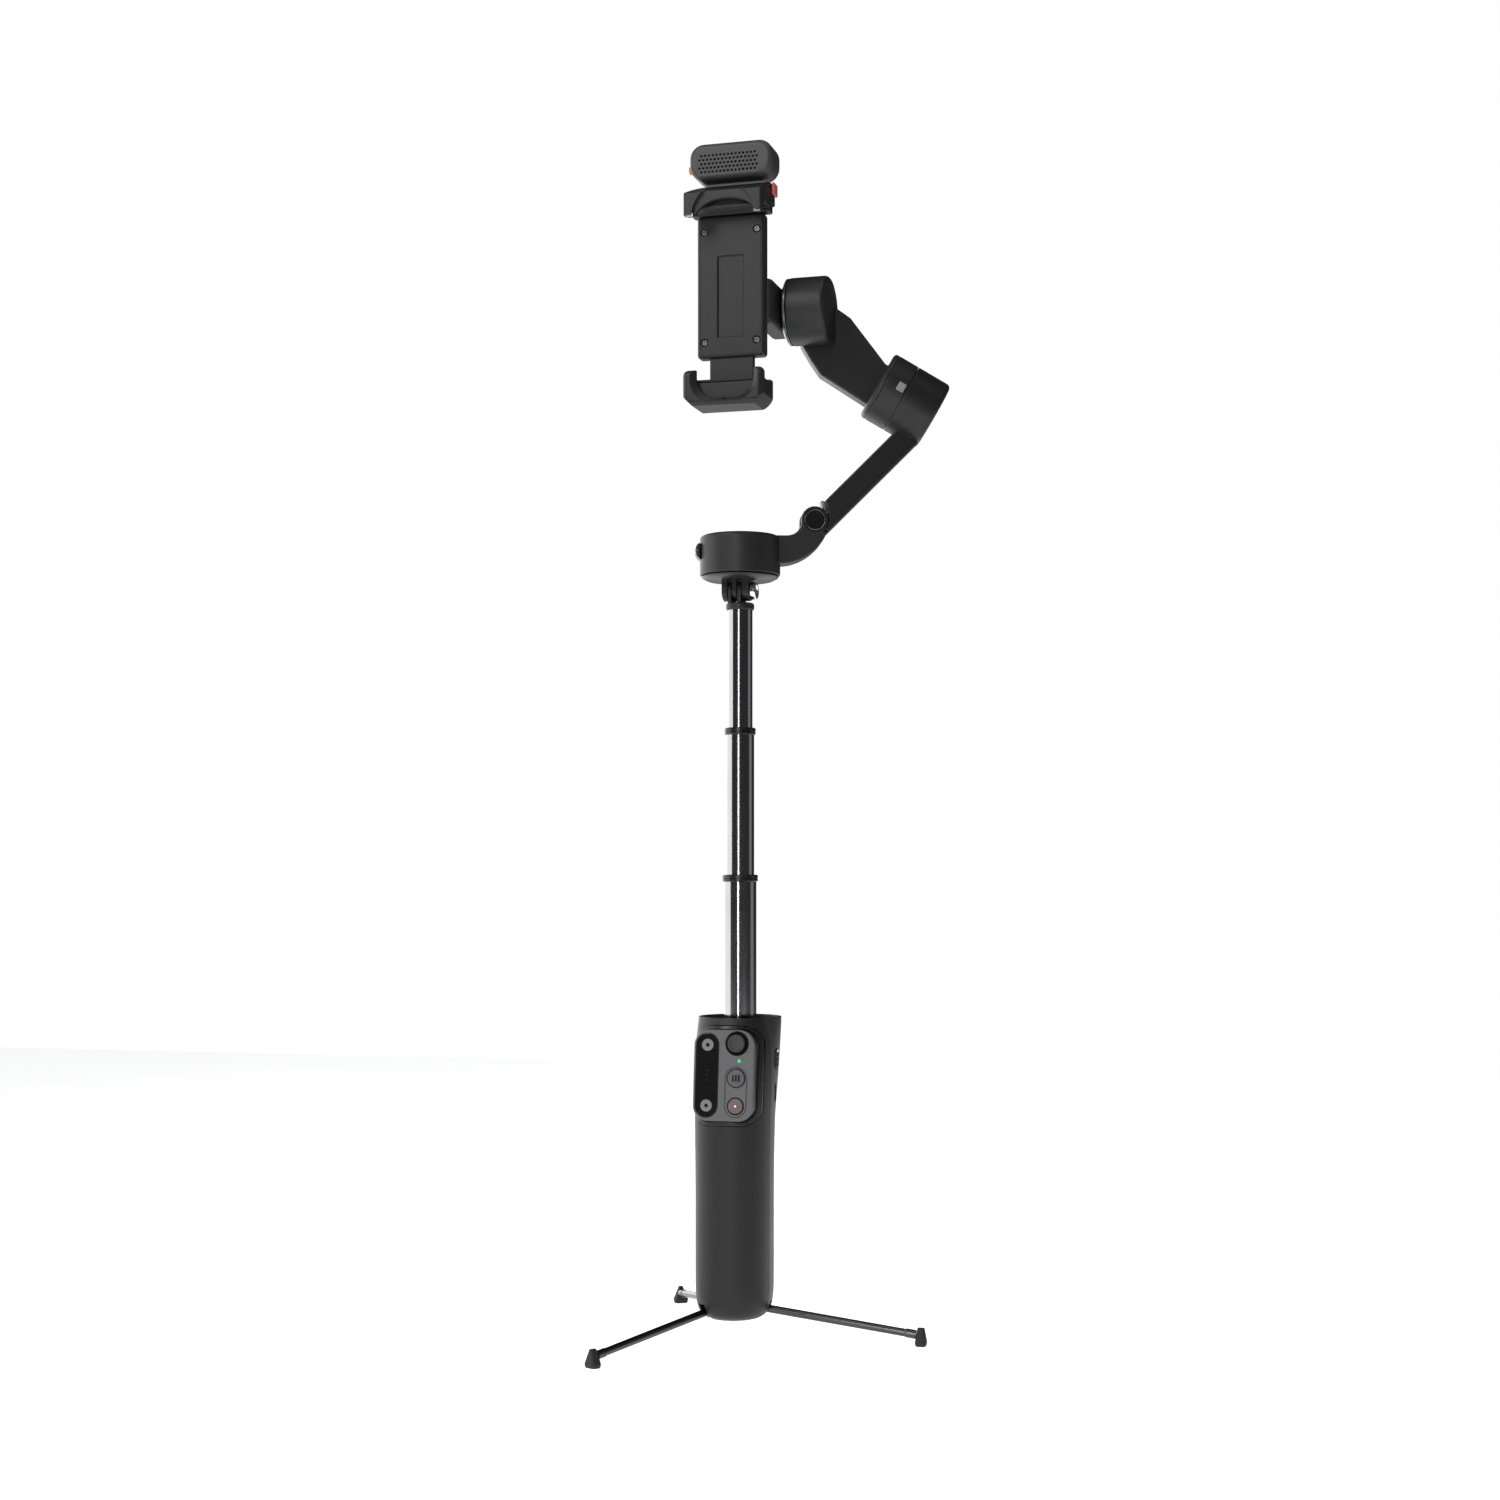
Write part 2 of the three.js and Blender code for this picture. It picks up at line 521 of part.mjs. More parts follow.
function upperArm() {
  const bar = upright(barOutline(), -ARM_HALF, ARM_HALF).rotateY(-Math.PI / 4).translate(FOLD.s, 0, FOLD.z);
  const cheeks = [[-ARM_HALF - 1, -FOLD.half], [FOLD.half, ARM_HALF + 1]];
  const clearBar = cut(bar, ...cheeks.map(([low, high]) => foldAxis(FOLD.cheek + 0.5, low, high)));
  const tongue = foldAxis(FOLD.tongue, -FOLD.half, FOLD.half);
  const { radius, outer } = ROLL;
  const drum = turned([[0, 0.25], [radius, 0.25], [radius, outer - 1.6], [radius - 0.6, outer - 0.5],
    [radius - 1.8, outer], [0, outer]], 36).rotateY(Math.PI / 2);
  return cut(
    join(clearBar, tongue, drum.applyMatrix4(rollToArm)),
    rodX(13.6, -5, ROLL.outer - 2.5, 36).applyMatrix4(rollToArm),
    foldAxis(2.3, -10, 10, 20),
  );
}
piece(armFrame, 'upper_arm', upperArm(), darkPlastic);

const rollStator = turned([[0, 2], [9.6, 2], [9.6, 10.5], [4, 10.5], [4, 12.9], [0, 12.9]])
  .rotateY(Math.PI / 2);
piece(rollFrame, 'roll_stator', rollStator, copper);

// ---------------------------------------------------------------- roll motor's inner half, bracket and tilt housing

const tiltAxis = (radius, low, high, sides = 20) => rodX(radius, low, high, sides)
  .translate(0, TILT.y, TILT.z);

function rollBracket() {
  const { radius, inner } = ROLL;
  const drum = turned([
    [0, -inner], [radius - 1.6, -inner], [radius, -inner + 1.4], [radius, -0.25], [0, -0.25],
  ], 36).rotateY(Math.PI / 2);
  const web = polygon([
    [-10, -11.5], [-37, -10.4], [-51, -3], [-57, 8], [-50, 20], [-38, 19], [-14, 9], [-10, 9],
  ]);
  const drumAndWeb = join(drum, upright(web, -5, 3));
  const tiltDrum = tiltAxis(TILT.radius, TILT.left, TILT.right, 36).applyMatrix4(toRoll);
  return cut(
    join(drumAndWeb, tiltDrum),
    rodX(13.4, -10, 5, 36),
    tiltAxis(12.7, 10, 39.6, 36).applyMatrix4(toRoll),
  );
}
piece(rollFrame, 'roll_bracket', rollBracket(), darkPlastic);
piece(rollFrame, 'roll_rotor', ring(13.1, 10.6, -9.6, 9.5, 36).rotateY(Math.PI / 2), darkMetal);
const mark = box([-4.6, -1], [-16.9, -16.3], [-1.6, 2.4]);
piece(rollFrame, 'alignment_mark', mark, greyPlastic);
const tiltStator = turned([[0, 28], [9, 28], [9, 36.5], [4, 36.5], [4, 39.3], [0, 39.3]])
  .rotateY(Math.PI / 2);
piece(group, 'tilt_stator', tiltStator.translate(0, TILT.y, TILT.z), copper);

// ---------------------------------------------------------------- clamp

const tiltRotor = turned([
  [0, 21.5], [13, 21.5], [14.8, 22.8], [14.8, 24], [12.3, 24], [12.3, 37], [10, 37], [10, 25.4], [0, 25.4],
], 36).rotateY(Math.PI / 2);
piece(group, 'tilt_rotor', tiltRotor.translate(0, TILT.y, TILT.z), darkMetal);

const spanX = (half) => [CLAMP.x - half, CLAMP.x + half];

function clampBack() {
  const plate = roundedBox(spanX(15.5), [-26, CLAMP.back], [427, 490], 1.4);
  const ear = roundedBox([12, 21.2], [CLAMP.back - 3, TILT.y + 9], [TILT.z - 10, TILT.z + 10], 2);
  const pocket = box(spanX(10.3), [-24.7, -20.7], [420, 478]);
  return cut(join(plate, ear), pocket);
}
piece(group, 'clamp_back', clampBack(), darkPlastic);

function upperJaw() {
  const { x, half, slotFront, slotBack, back, front } = CLAMP;
  const { bottom, top, frontTop } = UPPER_JAW;
  const block = roundedBox([x - half, x + half], [front, back - 0.7], [bottom, top], 3.4);
  const slot = box([-40, 40], [slotFront, slotBack], [480, PHONE_GAP.high + 1.5]);
  const rear = box([-40, 40], [slotBack - 0.1, 0], [480, 490.3]);
  const arch = rodY(14, front - 1, slotFront + 1, 32).scale(0.93, 1, 0.5).translate(x + 1, 0, bottom - 0.4);
  const shoulder = box([-40, 40], [-20, 40], [0, 20]).rotateX(JAW_SLOPE).translate(0, front, frontTop);
  return cut(block, slot, rear, arch, shoulder);
}
piece(group, 'upper_jaw', upperJaw(), darkPlastic);
const PAD = { half: 15, inset: 0.6, thick: 1.2 };
const upperPad = box(
  spanX(PAD.half),
  [CLAMP.slotFront + PAD.inset, CLAMP.slotBack - PAD.inset],
  [PHONE_GAP.high, PHONE_GAP.high + PAD.thick],
);
piece(group, 'upper_pad', upperPad, rubber);
piece(group, 'accent_strip', roundedBox([21.3, 22.6], [-24, -18], [498, 503.4], 0.5), accentRed);

function lowerJaw() {
  const { x, slotFront, slotBack, back, front } = CLAMP;
  const { bottom, top, chamfer } = LOWER_JAW;
  const [left, right] = spanX(18.5);
  const outline = polygon([
    [left, top], [left, bottom + chamfer], [left + chamfer, bottom], [right - chamfer, bottom],
    [right, bottom + chamfer], [right, top],
  ]);
  const block = overlapOf(
    roundedBox([left, right], [front, back - 0.7], [bottom, top], 2.6),
    upright(outline, front - 1, back),
  );
  const slot = box([-40, 40], [slotFront, slotBack], [PHONE_GAP.low - 1.5, 430]);
  const rear = box([-40, 40], [slotBack - 0.1, 0], [PHONE_GAP.low, 430]);
  const scoop = upright(roundedRect(26, 30, 9), front - 2, slotFront + 2)
    .translate(x + 0.6, 0, bottom + 18.5);
  const stem = box(spanX(10), [-24.4, -21], [410, 455]);
  return join(cut(block, slot, rear, scoop), stem);
}
piece(group, 'lower_jaw', lowerJaw(), darkPlastic);
const lowerPad = box(
  spanX(PAD.half),
  [CLAMP.slotFront + 2.6, CLAMP.slotBack - PAD.inset],
  [PHONE_GAP.low - PAD.thick, PHONE_GAP.low],
);
piece(group, 'lower_pad', lowerPad, rubber);

// ---------------------------------------------------------------- tracker

const trackerSpan = (inset) => [
  [TRACKER.x - TRACKER.width / 2 + inset, TRACKER.x + TRACKER.width / 2 - inset],
  [TRACKER.y - TRACKER.depth / 2 + inset, TRACKER.y + TRACKER.depth / 2 - inset],
  [TRACKER.bottom + inset, TRACKER.bottom + TRACKER.height - inset],
];
const TRACKER_BACK = TRACKER.y + TRACKER.depth / 2 - 4;
const DIAL_X = TRACKER.x - TRACKER.width / 2 - 2.1; // the dial's outer face

function trackerShell() {
  const body = roundedBox(...trackerSpan(0), 4.5);
  const hollow = roundedBox(...trackerSpan(1.4), 3.2);
  const front = TRACKER.y - TRACKER.depth / 2;
  const window = upright(roundedRect(PANEL.width + 0.6, PANEL.height + 0.6, 2.3), front - 1, front + 3);
  return cut(
    body,
    hollow,
    window.translate(PANEL.x, 0, PANEL.z),
    box([-60, 60], [TRACKER_BACK, 20], [490, 540]),
    rodX(1.6, DIAL_X - 1, DIAL_X + 7, 16).translate(0, TRACKER.y, PANEL.z),
  );
}
piece(group, 'tracker_shell', trackerShell(), trackerGrey);

const backHalf = box([-60, 60], [TRACKER_BACK + GAP, 20], [490, 540]);
const backRecess = box([-9, 17], [-30, -16.6], [509, 517]);
const backCover = cut(overlapOf(roundedBox(...trackerSpan(0), 4.5), backHalf), backRecess);
piece(group, 'tracker_back', backCover, darkPlastic);
const panelShape = roundedRect(PANEL.width, PANEL.height, 2);
const panelFront = TRACKER.y - TRACKER.depth / 2 + 0.1;
const panel = upright(panelShape, panelFront, panelFront + 1.2).translate(PANEL.x, 0, PANEL.z);
piece(group, 'light_panel', panel, trackerGrey);
const dial = turned([[0, 0], [1.4, 0], [1.7, 0.3], [1.7, 1.8], [1.3, 1.8], [1.3, 4.8], [0, 4.8]], 16)
  .rotateY(Math.PI / 2);
piece(group, 'light_dial', dial.translate(DIAL_X, TRACKER.y, PANEL.z), orange);

export default group;
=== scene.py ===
import json
import math

import bmesh
import bpy
from mathutils import Matrix, Vector


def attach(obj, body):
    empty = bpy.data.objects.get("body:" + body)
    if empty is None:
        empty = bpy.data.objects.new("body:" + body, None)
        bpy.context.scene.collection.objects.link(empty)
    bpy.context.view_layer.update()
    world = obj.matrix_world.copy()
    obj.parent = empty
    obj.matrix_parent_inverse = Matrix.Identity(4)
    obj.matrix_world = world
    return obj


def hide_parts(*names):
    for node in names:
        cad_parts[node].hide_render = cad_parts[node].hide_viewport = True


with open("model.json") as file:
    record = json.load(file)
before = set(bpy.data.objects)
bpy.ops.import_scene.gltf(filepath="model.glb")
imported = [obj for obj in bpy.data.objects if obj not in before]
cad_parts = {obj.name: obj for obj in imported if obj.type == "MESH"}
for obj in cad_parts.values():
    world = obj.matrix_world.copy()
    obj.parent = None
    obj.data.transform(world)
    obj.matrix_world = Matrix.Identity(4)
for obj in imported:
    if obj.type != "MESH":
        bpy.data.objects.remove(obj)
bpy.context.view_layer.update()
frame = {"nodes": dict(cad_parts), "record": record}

MM = 0.001
X_AXIS, Z_AXIS = (1, 0, 0), (0, 0, 1)

# ---------------------------------------------------------------- the part's driving dimensions, mm

GAP = 0.3
HANDLE_TOP = 134
HANDLE_WALL = 2
HANDLE_SHIFT = -8.5
SEAM_Y = -12
CUP_FLOOR = 118
LOWER_ROD = (7.4, 6.65, 103, 195)
MIDDLE_ROD = (6.4, 5.9, 183, 261.5)
UPPER_ROD = (5.65, 4.6, 250, 318)
COLLAR_HEIGHT = 2.8
FORK_Z = 326.6
FORK_RADIUS = 4.5
PRONG_HALF = 4.35
PIN_RADIUS = 2
HEAD_LOBES = ((-7.6, -4.9), (-2.6, -0.5), (1.9, 5.2))
ROD_PRONGS = ((-4.6, -2.9), (-0.2, 1.6))
PAN_RADIUS, PAN_BOTTOM, PAN_TOP, PAN_CAVITY = 18.2, 333.6, 351.6, 15.2
PLATE_BOTTOM, PLATE_TOP, PLATE_RADIUS = 331.4, 333.2, 17.4
ARM_HALF = 6
FOLD_S, FOLD_Z, FOLD_CHEEK, FOLD_TONGUE, FOLD_HALF = 33.6, 358.6, 6.2, 5.8, 2.2
BAR_LOW, BAR_HIGH, BAR_END = -8.1, 2.9, 58
ROLL_RADIUS, ROLL_INNER, ROLL_OUTER = 16, 12.5, 17
TILT_Y, TILT_Z, TILT_RADIUS, TILT_LEFT, TILT_RIGHT = 2, 452, 15, 24.3, 42
CLAMP_X, CLAMP_HALF = 3, 18
SLOT_FRONT, SLOT_BACK, CLAMP_REAR, CLAMP_FRONT = -35.7, -26.2, -19.3, -39.2
PHONE_LOW, PHONE_HIGH = 416, 490.5
UPPER_BOTTOM, UPPER_TOP, UPPER_FRONT_TOP, UPPER_SLOPE = 487.2, 504.9, 497, math.radians(22.4)
LOWER_BOTTOM, LOWER_TOP, LOWER_CHAMFER = 403.5, 419.5, 4.5
TRACKER_X, TRACKER_Y, TRACKER_Z = (-15, 23), (-30, -14), (505.2, 521.2)
PANEL_X, PANEL_Z, PANEL_WIDTH, PANEL_HEIGHT = 3, 512, 29, 10.8
REMOTE_WIDTH, REMOTE_HEIGHT, REMOTE_DEPTH, REMOTE_CORNER = 27.8, 40.4, 8.2, 7
DOCK_MARGIN = 2
KEY_Y, KEY_Z, KEY_WIDTH, KEY_HEIGHT = -5, 115.5, 4.2, 9
PORT_Y, PORT_Z, PORT_WIDTH, PORT_HEIGHT = -5, 100.4, 3.2, 9
STRIP_X, STRIP_WIDTH, STRIP_HEIGHT = -7.6, 10.4, 37.2
BUTTON_X, STICK_Z, MODE_Z, RECORD_Z = 5.9, 14.2, -1.1, -13.4
LAMP_X, LAMP_Z = 7.1, 6.5
HUB_X, HUB_Y, HUB_RADIUS, HUB_TOP = -2, -6.5, 9.5, 12
LEG_HINGE, LEG_HINGE_Z, LEG_RADIUS, FOOT_REACH, FOOT_END_Z = 6.6, 4.5, 1.75, 86, -5.9
LEG_ANGLES = [math.radians(3 + 120 * k) for k in range(3)]
FLOOR_Z = -10.5
FOOT_DEPTH, FOOT_WIDTH, FOOT_CROWN, FOOT_HEIGHT = 5.2, 7, 1.8, 8

# ---------------------------------------------------------------- frames

REMOTE = Matrix.Translation((0, -27, 109.3)) @ Matrix.Rotation(math.radians(-5.7), 4, "X")
ARM = Matrix.Rotation(math.radians(20), 4, "Z")
ROLL_IN_ARM = Matrix.Translation((73.6, 0, 415.2)) @ Matrix.Rotation(math.radians(29.5), 4, "Y")
ROLL = ARM @ ROLL_IN_ARM
ALONG_X = Matrix.Rotation(math.pi / 2, 4, "Y")
ALONG_Y = Matrix.Rotation(-math.pi / 2, 4, "X")
TOWARDS_USER = Matrix.Rotation(math.pi / 2, 4, "X")


def at(x, y, z):
    return Matrix.Translation((x, y, z))


# ---------------------------------------------------------------- shader graph


class Wire:
    """An output socket that takes part in sums and products."""

    def __init__(self, graph, socket):
        self.graph, self.socket = graph, socket

    def _math(self, operation, first, second):
        return self.graph.node("ShaderNodeMath", {"operation": operation}, {0: first, 1: second})[0]

    def __add__(self, other):
        return self._math("ADD", self, other)

    def __mul__(self, other):
        return self._math("MULTIPLY", self, other)


class Graph:
    """The node graph of one finish."""

    def __init__(self, name, **constants):
        self.material = bpy.data.materials.new(name)
        self.material.use_nodes = True
        self.tree = self.material.node_tree
        self.tree.nodes.clear()
        self.surface = self.tree.nodes.new("ShaderNodeBsdfPrincipled")
        output = self.tree.nodes.new("ShaderNodeOutputMaterial")
        self.tree.links.new(self.surface.outputs[0], output.inputs[0])
        for socket, value in constants.items():
            self.surface.inputs[socket.replace("_", " ")].default_value = value
        self.place = self.node("ShaderNodeTexCoord")["Object"]

    def fill(self, target, value):
        if isinstance(value, Wire):
            self.tree.links.new(value.socket, target)
        else:
            target.default_value = value

    def node(self, kind, settings=None, sockets=None):
        made = self.tree.nodes.new(kind)
        for name, value in (settings or {}).items():
            setattr(made, name, value)
        for name, value in (sockets or {}).items():
            self.fill(made.inputs[name], value)
        return Outputs(self, made)

    def noise(self, size_mm, detail, place=None):
        return self.node("ShaderNodeTexNoise", sockets={
            "Vector": place or self.place, "Scale": 1 / (size_mm * MM), "Detail": detail})["Fac"]

    def blend(self, factor, first, second):
        return self.node("ShaderNodeMix", {"data_type": "RGBA"}, {0: factor, 6: first, 7: second})[2]

    def height(self, level, depth_mm, strength=1.0):
        bump = self.node("ShaderNodeBump", sockets={
            "Strength": strength, "Distance": depth_mm * MM, "Height": level})["Normal"]
        self.fill(self.surface.inputs["Normal"], bump)

    def set(self, socket, value):
        self.fill(self.surface.inputs[socket], value)


class Outputs:
    def __init__(self, graph, made):
        self.graph, self.made = graph, made

    def __getitem__(self, key):
        return Wire(self.graph, self.made.outputs[key])


SOOT, STEEL = (1, 1, 1.02), (1, 1, 1.03)
PLASTIC_SHEEN = 0.3


def tone(level, tint=SOOT):
    return (level * tint[0], level * tint[1], level * tint[2], 1)


def moulded(name, level, roughness, grain_mm=0.16, depth_mm=0.012, spread=0.14, tint=SOOT, **more):
    """Moulded plastic: a fine spark-eroded grain, with slow drifts in tone and gloss."""
    graph = Graph(name, Specular_IOR_Level=PLASTIC_SHEEN, **more)
    drift = graph.noise(22, 3)
    grain = graph.noise(grain_mm, 3)
    low, high = (tone(level * (1 - spread), tint), tone(level * (1 + spread), tint))
    graph.set("Base Color", graph.blend(drift * 0.7 + grain * 0.3, low, high))
    graph.set("Roughness", grain * 0.12 + drift * 0.1 + (roughness - 0.11))
    graph.height(grain, depth_mm)
    return graph.material


def polished(name, level, roughness, streak_mm=0.12, along=(1, 1, 0.004), line_mm=0.0015):
    """Drawn or turned metal: fine lines along the piece and a trace of handling in the gloss."""
    graph = Graph(name, Metallic=1.0)
    stretched = graph.node("ShaderNodeMapping", sockets={"Vector": graph.place, "Scale": along})[0]
    lines = graph.noise(streak_mm, 2, stretched)
    smear = graph.noise(14, 4)
    graph.set("Base Color", graph.blend(smear, tone(level * 0.88, STEEL), tone(level * 1.1, STEEL)))
    graph.set("Roughness", lines * 0.02 + smear * 0.03 + (roughness - 0.025))
    if line_mm:
        graph.height(lines, line_mm, 0.5)
    return graph.material


def knurled(name, level, roughness, pitch_mm, frame_matrix):
    """A rubbery cap with a diamond knurl that lies in the cap's own face."""
    graph = Graph(name)
    turn = frame_matrix.to_euler()
    local = graph.node("ShaderNodeMapping", {"vector_type": "TEXTURE"}, {
        "Vector": graph.place,
        "Location": frame_matrix.translation * MM,
        "Rotation": (turn.x, turn.y, turn.z + 0.78)})[0]
    split = graph.node("ShaderNodeSeparateXYZ", sockets={0: local})
    rate = 2 * math.pi / (pitch_mm * MM)

    def ridge(axis):
        return graph.node("ShaderNodeMath", {"operation": "SINE"}, {0: split[axis] * rate})[0]

    diamonds = ridge(0) * ridge(1) * 0.5 + 0.5
    dust = graph.noise(0.2, 2)
    graph.set("Base Color", graph.blend(diamonds, tone(level * 0.6), tone(level * 1.3)))
    graph.set("Roughness", dust * 0.15 + (roughness - 0.08))
    graph.height(diamonds, 0.14)
    return graph.material


def winding(name):
    """Enamelled copper wire, wound round the motor's core."""
    graph = Graph(name, Metallic=0.85)
    bands = graph.node("ShaderNodeTexWave", {"bands_direction": "Z"}, {
        "Vector": graph.place, "Scale": 190.0, "Distortion": 1.5, "Detail": 2.0})["Fac"]
    graph.set("Base Color", graph.blend(bands, (0.28, 0.1, 0.035, 1), (0.72, 0.34, 0.14, 1)))
    graph.set("Roughness", bands * 0.15 + 0.25)
    graph.height(bands, 0.08)
    return graph.material


def board(name):
    """Solder mask with faint tracks."""
    graph = Graph(name, Coat_Weight=0.4)
    tracks = graph.node("ShaderNodeTexBrick", sockets={
        "Vector": graph.place, "Scale": 420.0, "Mortar Size": 0.06,
        "Color1": (0.012, 0.08, 0.04, 1), "Color2": (0.016, 0.1, 0.05, 1), "Mortar": (0.05, 0.2, 0.1, 1)})
    graph.set("Base Color", tracks["Color"])
    graph.set("Roughness", graph.noise(3, 2) * 0.2 + 0.3)
    graph.height(tracks["Fac"], 0.03)
    return graph.material


def lit(name, colour, strength):
    """A clear cap over a lamp, or a white dot that glows as a painted glint where no lamp is, with a faint
    cloud in its glow.
    """
    graph = Graph(name, Coat_Weight=0.8, Emission_Strength=strength)
    cloud = graph.noise(0.6, 2)
    dim = tuple(c * 0.6 for c in colour) + (1,)
    graph.set("Base Color", graph.blend(cloud, dim, (*colour, 1)))
    graph.set("Emission Color", graph.blend(cloud, dim, (*colour, 1)))
    graph.set("Roughness", cloud * 0.1 + 0.15)
    return graph.material


charcoal = moulded("charcoal_plastic", 0.014, 0.42, spread=0.1)
arm_black = moulded("arm_plastic", 0.011, 0.36, spread=0.1)
soft_black = moulded("soft_grip", 0.011, 0.46, grain_mm=0.22, depth_mm=0.018)
rear_black = moulded("rear_shell_plastic", 0.02, 0.42)
dock_dark = moulded("dock_plastic", 0.012, 0.28, depth_mm=0.006)
face_grey = moulded("remote_face_grey", 0.1, 0.45, depth_mm=0.008, spread=0.08)
button_grey = moulded("button_grey", 0.085, 0.36, depth_mm=0.006)
tracker_grey = moulded("tracker_grey", 0.04, 0.42, depth_mm=0.01)
mark_grey = moulded("alignment_grey", 0.2, 0.4, depth_mm=0.006)
icon_grey = moulded("icon_grey", 0.17, 0.35, depth_mm=0.003)
gloss_black = moulded("gloss_black", 0.006, 0.16, depth_mm=0.001, Coat_Weight=0.6)
rubber_black = moulded("rubber_black", 0.018, 0.62, grain_mm=0.3, depth_mm=0.03)
orange_knob = moulded("orange_knob", 0.5, 0.4, tint=(1.15, 0.36, 0.12), depth_mm=0.006)
accent_red = moulded("accent_red", 0.45, 0.4, tint=(1.25, 0.22, 0.24), depth_mm=0.006)
record_pink = moulded("record_button", 0.11, 0.34, tint=(1.15, 0.86, 0.8), depth_mm=0.006)
cell_blue = moulded("cell_sleeve", 0.2, 0.35, tint=(0.5, 1, 2), depth_mm=0.006)
rod_black = polished("rod_black", 0.36, 0.13, streak_mm=1.2, line_mm=0)
leg_black = polished("leg_black", 0.07, 0.2, streak_mm=1, line_mm=0)
collar_black = polished("collar_black", 0.05, 0.3)
cap_dark = polished("turned_cap", 0.1, 0.2, along=(1, 1, 1))
dark_metal = polished("dark_metal", 0.14, 0.3, along=(1, 1, 1))
bright_metal = polished("bright_metal", 0.8, 0.12, along=(1, 1, 1))
stick_rubber = knurled("stick_rubber", 0.022, 0.55, 0.85, REMOTE @ Matrix.Rotation(math.pi / 2, 4, "X"))
copper = winding("copper_winding")
board_green = board("board_green")
hook_metal = polished("hook_metal", 0.35, 0.25, along=(1, 1, 1))
lamp_green = lit("lamp_green", (0.03, 0.42, 0.13), 0.5)
# Painted glint: a white glow that stands in for a highlight; no lamp lies under it.
painted_glint_white = lit("painted_glint_white", (0.9, 0.86, 0.84), 0.9)

# ---------------------------------------------------------------- shapes, mm


def rounded_outline(width, height, radius, steps=10):
    points = []
    for quarter in range(4):
        cx = (width / 2 - radius) * (1 if quarter in (0, 3) else -1)
        cz = (height / 2 - radius) * (1 if quarter in (0, 1) else -1)
        for k in range(steps + 1):
            angle = math.pi / 2 * (quarter + k / steps)
            points.append((cx + radius * math.cos(angle), cz + radius * math.sin(angle)))
    least = radius * math.pi / 4 / steps
    return [point for point, last in zip(points, points[-1:] + points) if math.dist(point, last) > least]


def curve(start, first, second, end, steps):
    """Points of a cubic curve, without its start."""
    points = []
    for k in range(1, steps + 1):
        t = k / steps
        weights = ((1 - t) ** 3, 3 * t * (1 - t) ** 2, 3 * t * t * (1 - t), t ** 3)
        mixed = list(zip(weights, (start, first, second, end)))
        points.append(tuple(sum(w * p[i] for w, p in mixed) for i in (0, 1)))
    return points


WELD = 4e-4  # points nearer than this are one point
SECTION_STEP = 2.0  # most between two sections of the handle


def shape(bm, matrix=None):
    """A bmesh as a scene object, still in millimetres."""
    bmesh.ops.remove_doubles(bm, verts=bm.verts, dist=WELD)
    bmesh.ops.recalc_face_normals(bm, faces=bm.faces)
    mesh = bpy.data.meshes.new("shape")
    bm.to_mesh(mesh)
    bm.free()
    obj = bpy.data.objects.new("shape", mesh)
    bpy.context.scene.collection.objects.link(obj)
    if matrix is not None:
        mesh.transform(matrix)
    return obj


def spun(profile, matrix=None, sides=96):
    """A turned piece about Z from [radius, height] points."""
    bm = bmesh.new()
    base = profile[0][1]
    points = [bm.verts.new((radius, 0, height - base)) for radius, height in profile]
    edges = [bm.edges.new(pair) for pair in zip(points, points[1:])]
    bmesh.ops.spin(bm, geom=points + edges, cent=(0, 0, 0), axis=Z_AXIS, dvec=(0, 0, 0),
                   angle=2 * math.pi, steps=sides, use_merge=True, use_duplicate=False)
    bmesh.ops.translate(bm, verts=bm.verts, vec=(0, 0, base))
    return shape(bm, matrix)


def rod(radius, low, high, matrix=None, sides=64, soft=0.0):
    if soft:
        profile = [(0, low), (radius - soft, low), (radius, low + soft), (radius, high - soft),
                   (radius - soft, high), (0, high)]
    else:
        profile = [(0, low), (radius, low), (radius, high), (0, high)]
    return spun(profile, matrix, sides)


def prism(points, low, high, matrix=None, front_soft=0.0, back_soft=0.0, segments=4, front_scale=None):
    """An outline in X and Z drawn out along Y; its front and back rims may be rounded."""
    bm = bmesh.new()
    face = bm.faces.new([bm.verts.new((x, low, z)) for x, z in points])
    drawn = bmesh.ops.extrude_face_region(bm, geom=[face])
    far = [v for v in drawn["geom"] if isinstance(v, bmesh.types.BMVert)]
    bmesh.ops.translate(bm, verts=far, vec=(0, high - low, 0))
    if front_scale:
        near = [v for v in bm.verts if abs(v.co.y - low) < 1e-3]
        centre = sum((v.co for v in near), Vector()) / len(near)
        bmesh.ops.scale(bm, verts=near, vec=(front_scale, 1, front_scale), space=Matrix.Translation(-centre))
    for level, soft in ((low, front_soft), (high, back_soft)):
        if soft:
            rim = [e for e in bm.edges if all(abs(v.co.y - level) < 1e-3 for v in e.verts)]
            bmesh.ops.bevel(bm, geom=rim, offset=soft, offset_type="OFFSET", segments=segments,
                            profile=0.5, affect="EDGES", material=-1)
    return shape(bm, matrix)


def block(x, y, z, soft=0.0, segments=5, matrix=None):
    bm = bmesh.new()
    bmesh.ops.create_cube(bm, size=1)
    bmesh.ops.scale(bm, verts=bm.verts, vec=(x[1] - x[0], y[1] - y[0], z[1] - z[0]))
    bmesh.ops.translate(bm, verts=bm.verts, vec=((x[0] + x[1]) / 2, (y[0] + y[1]) / 2, (z[0] + z[1]) / 2))
    if soft:
        bmesh.ops.bevel(bm, geom=list(bm.edges), offset=soft, offset_type="OFFSET", segments=segments,
                        profile=0.5, affect="EDGES", material=-1)
    return shape(bm, matrix)


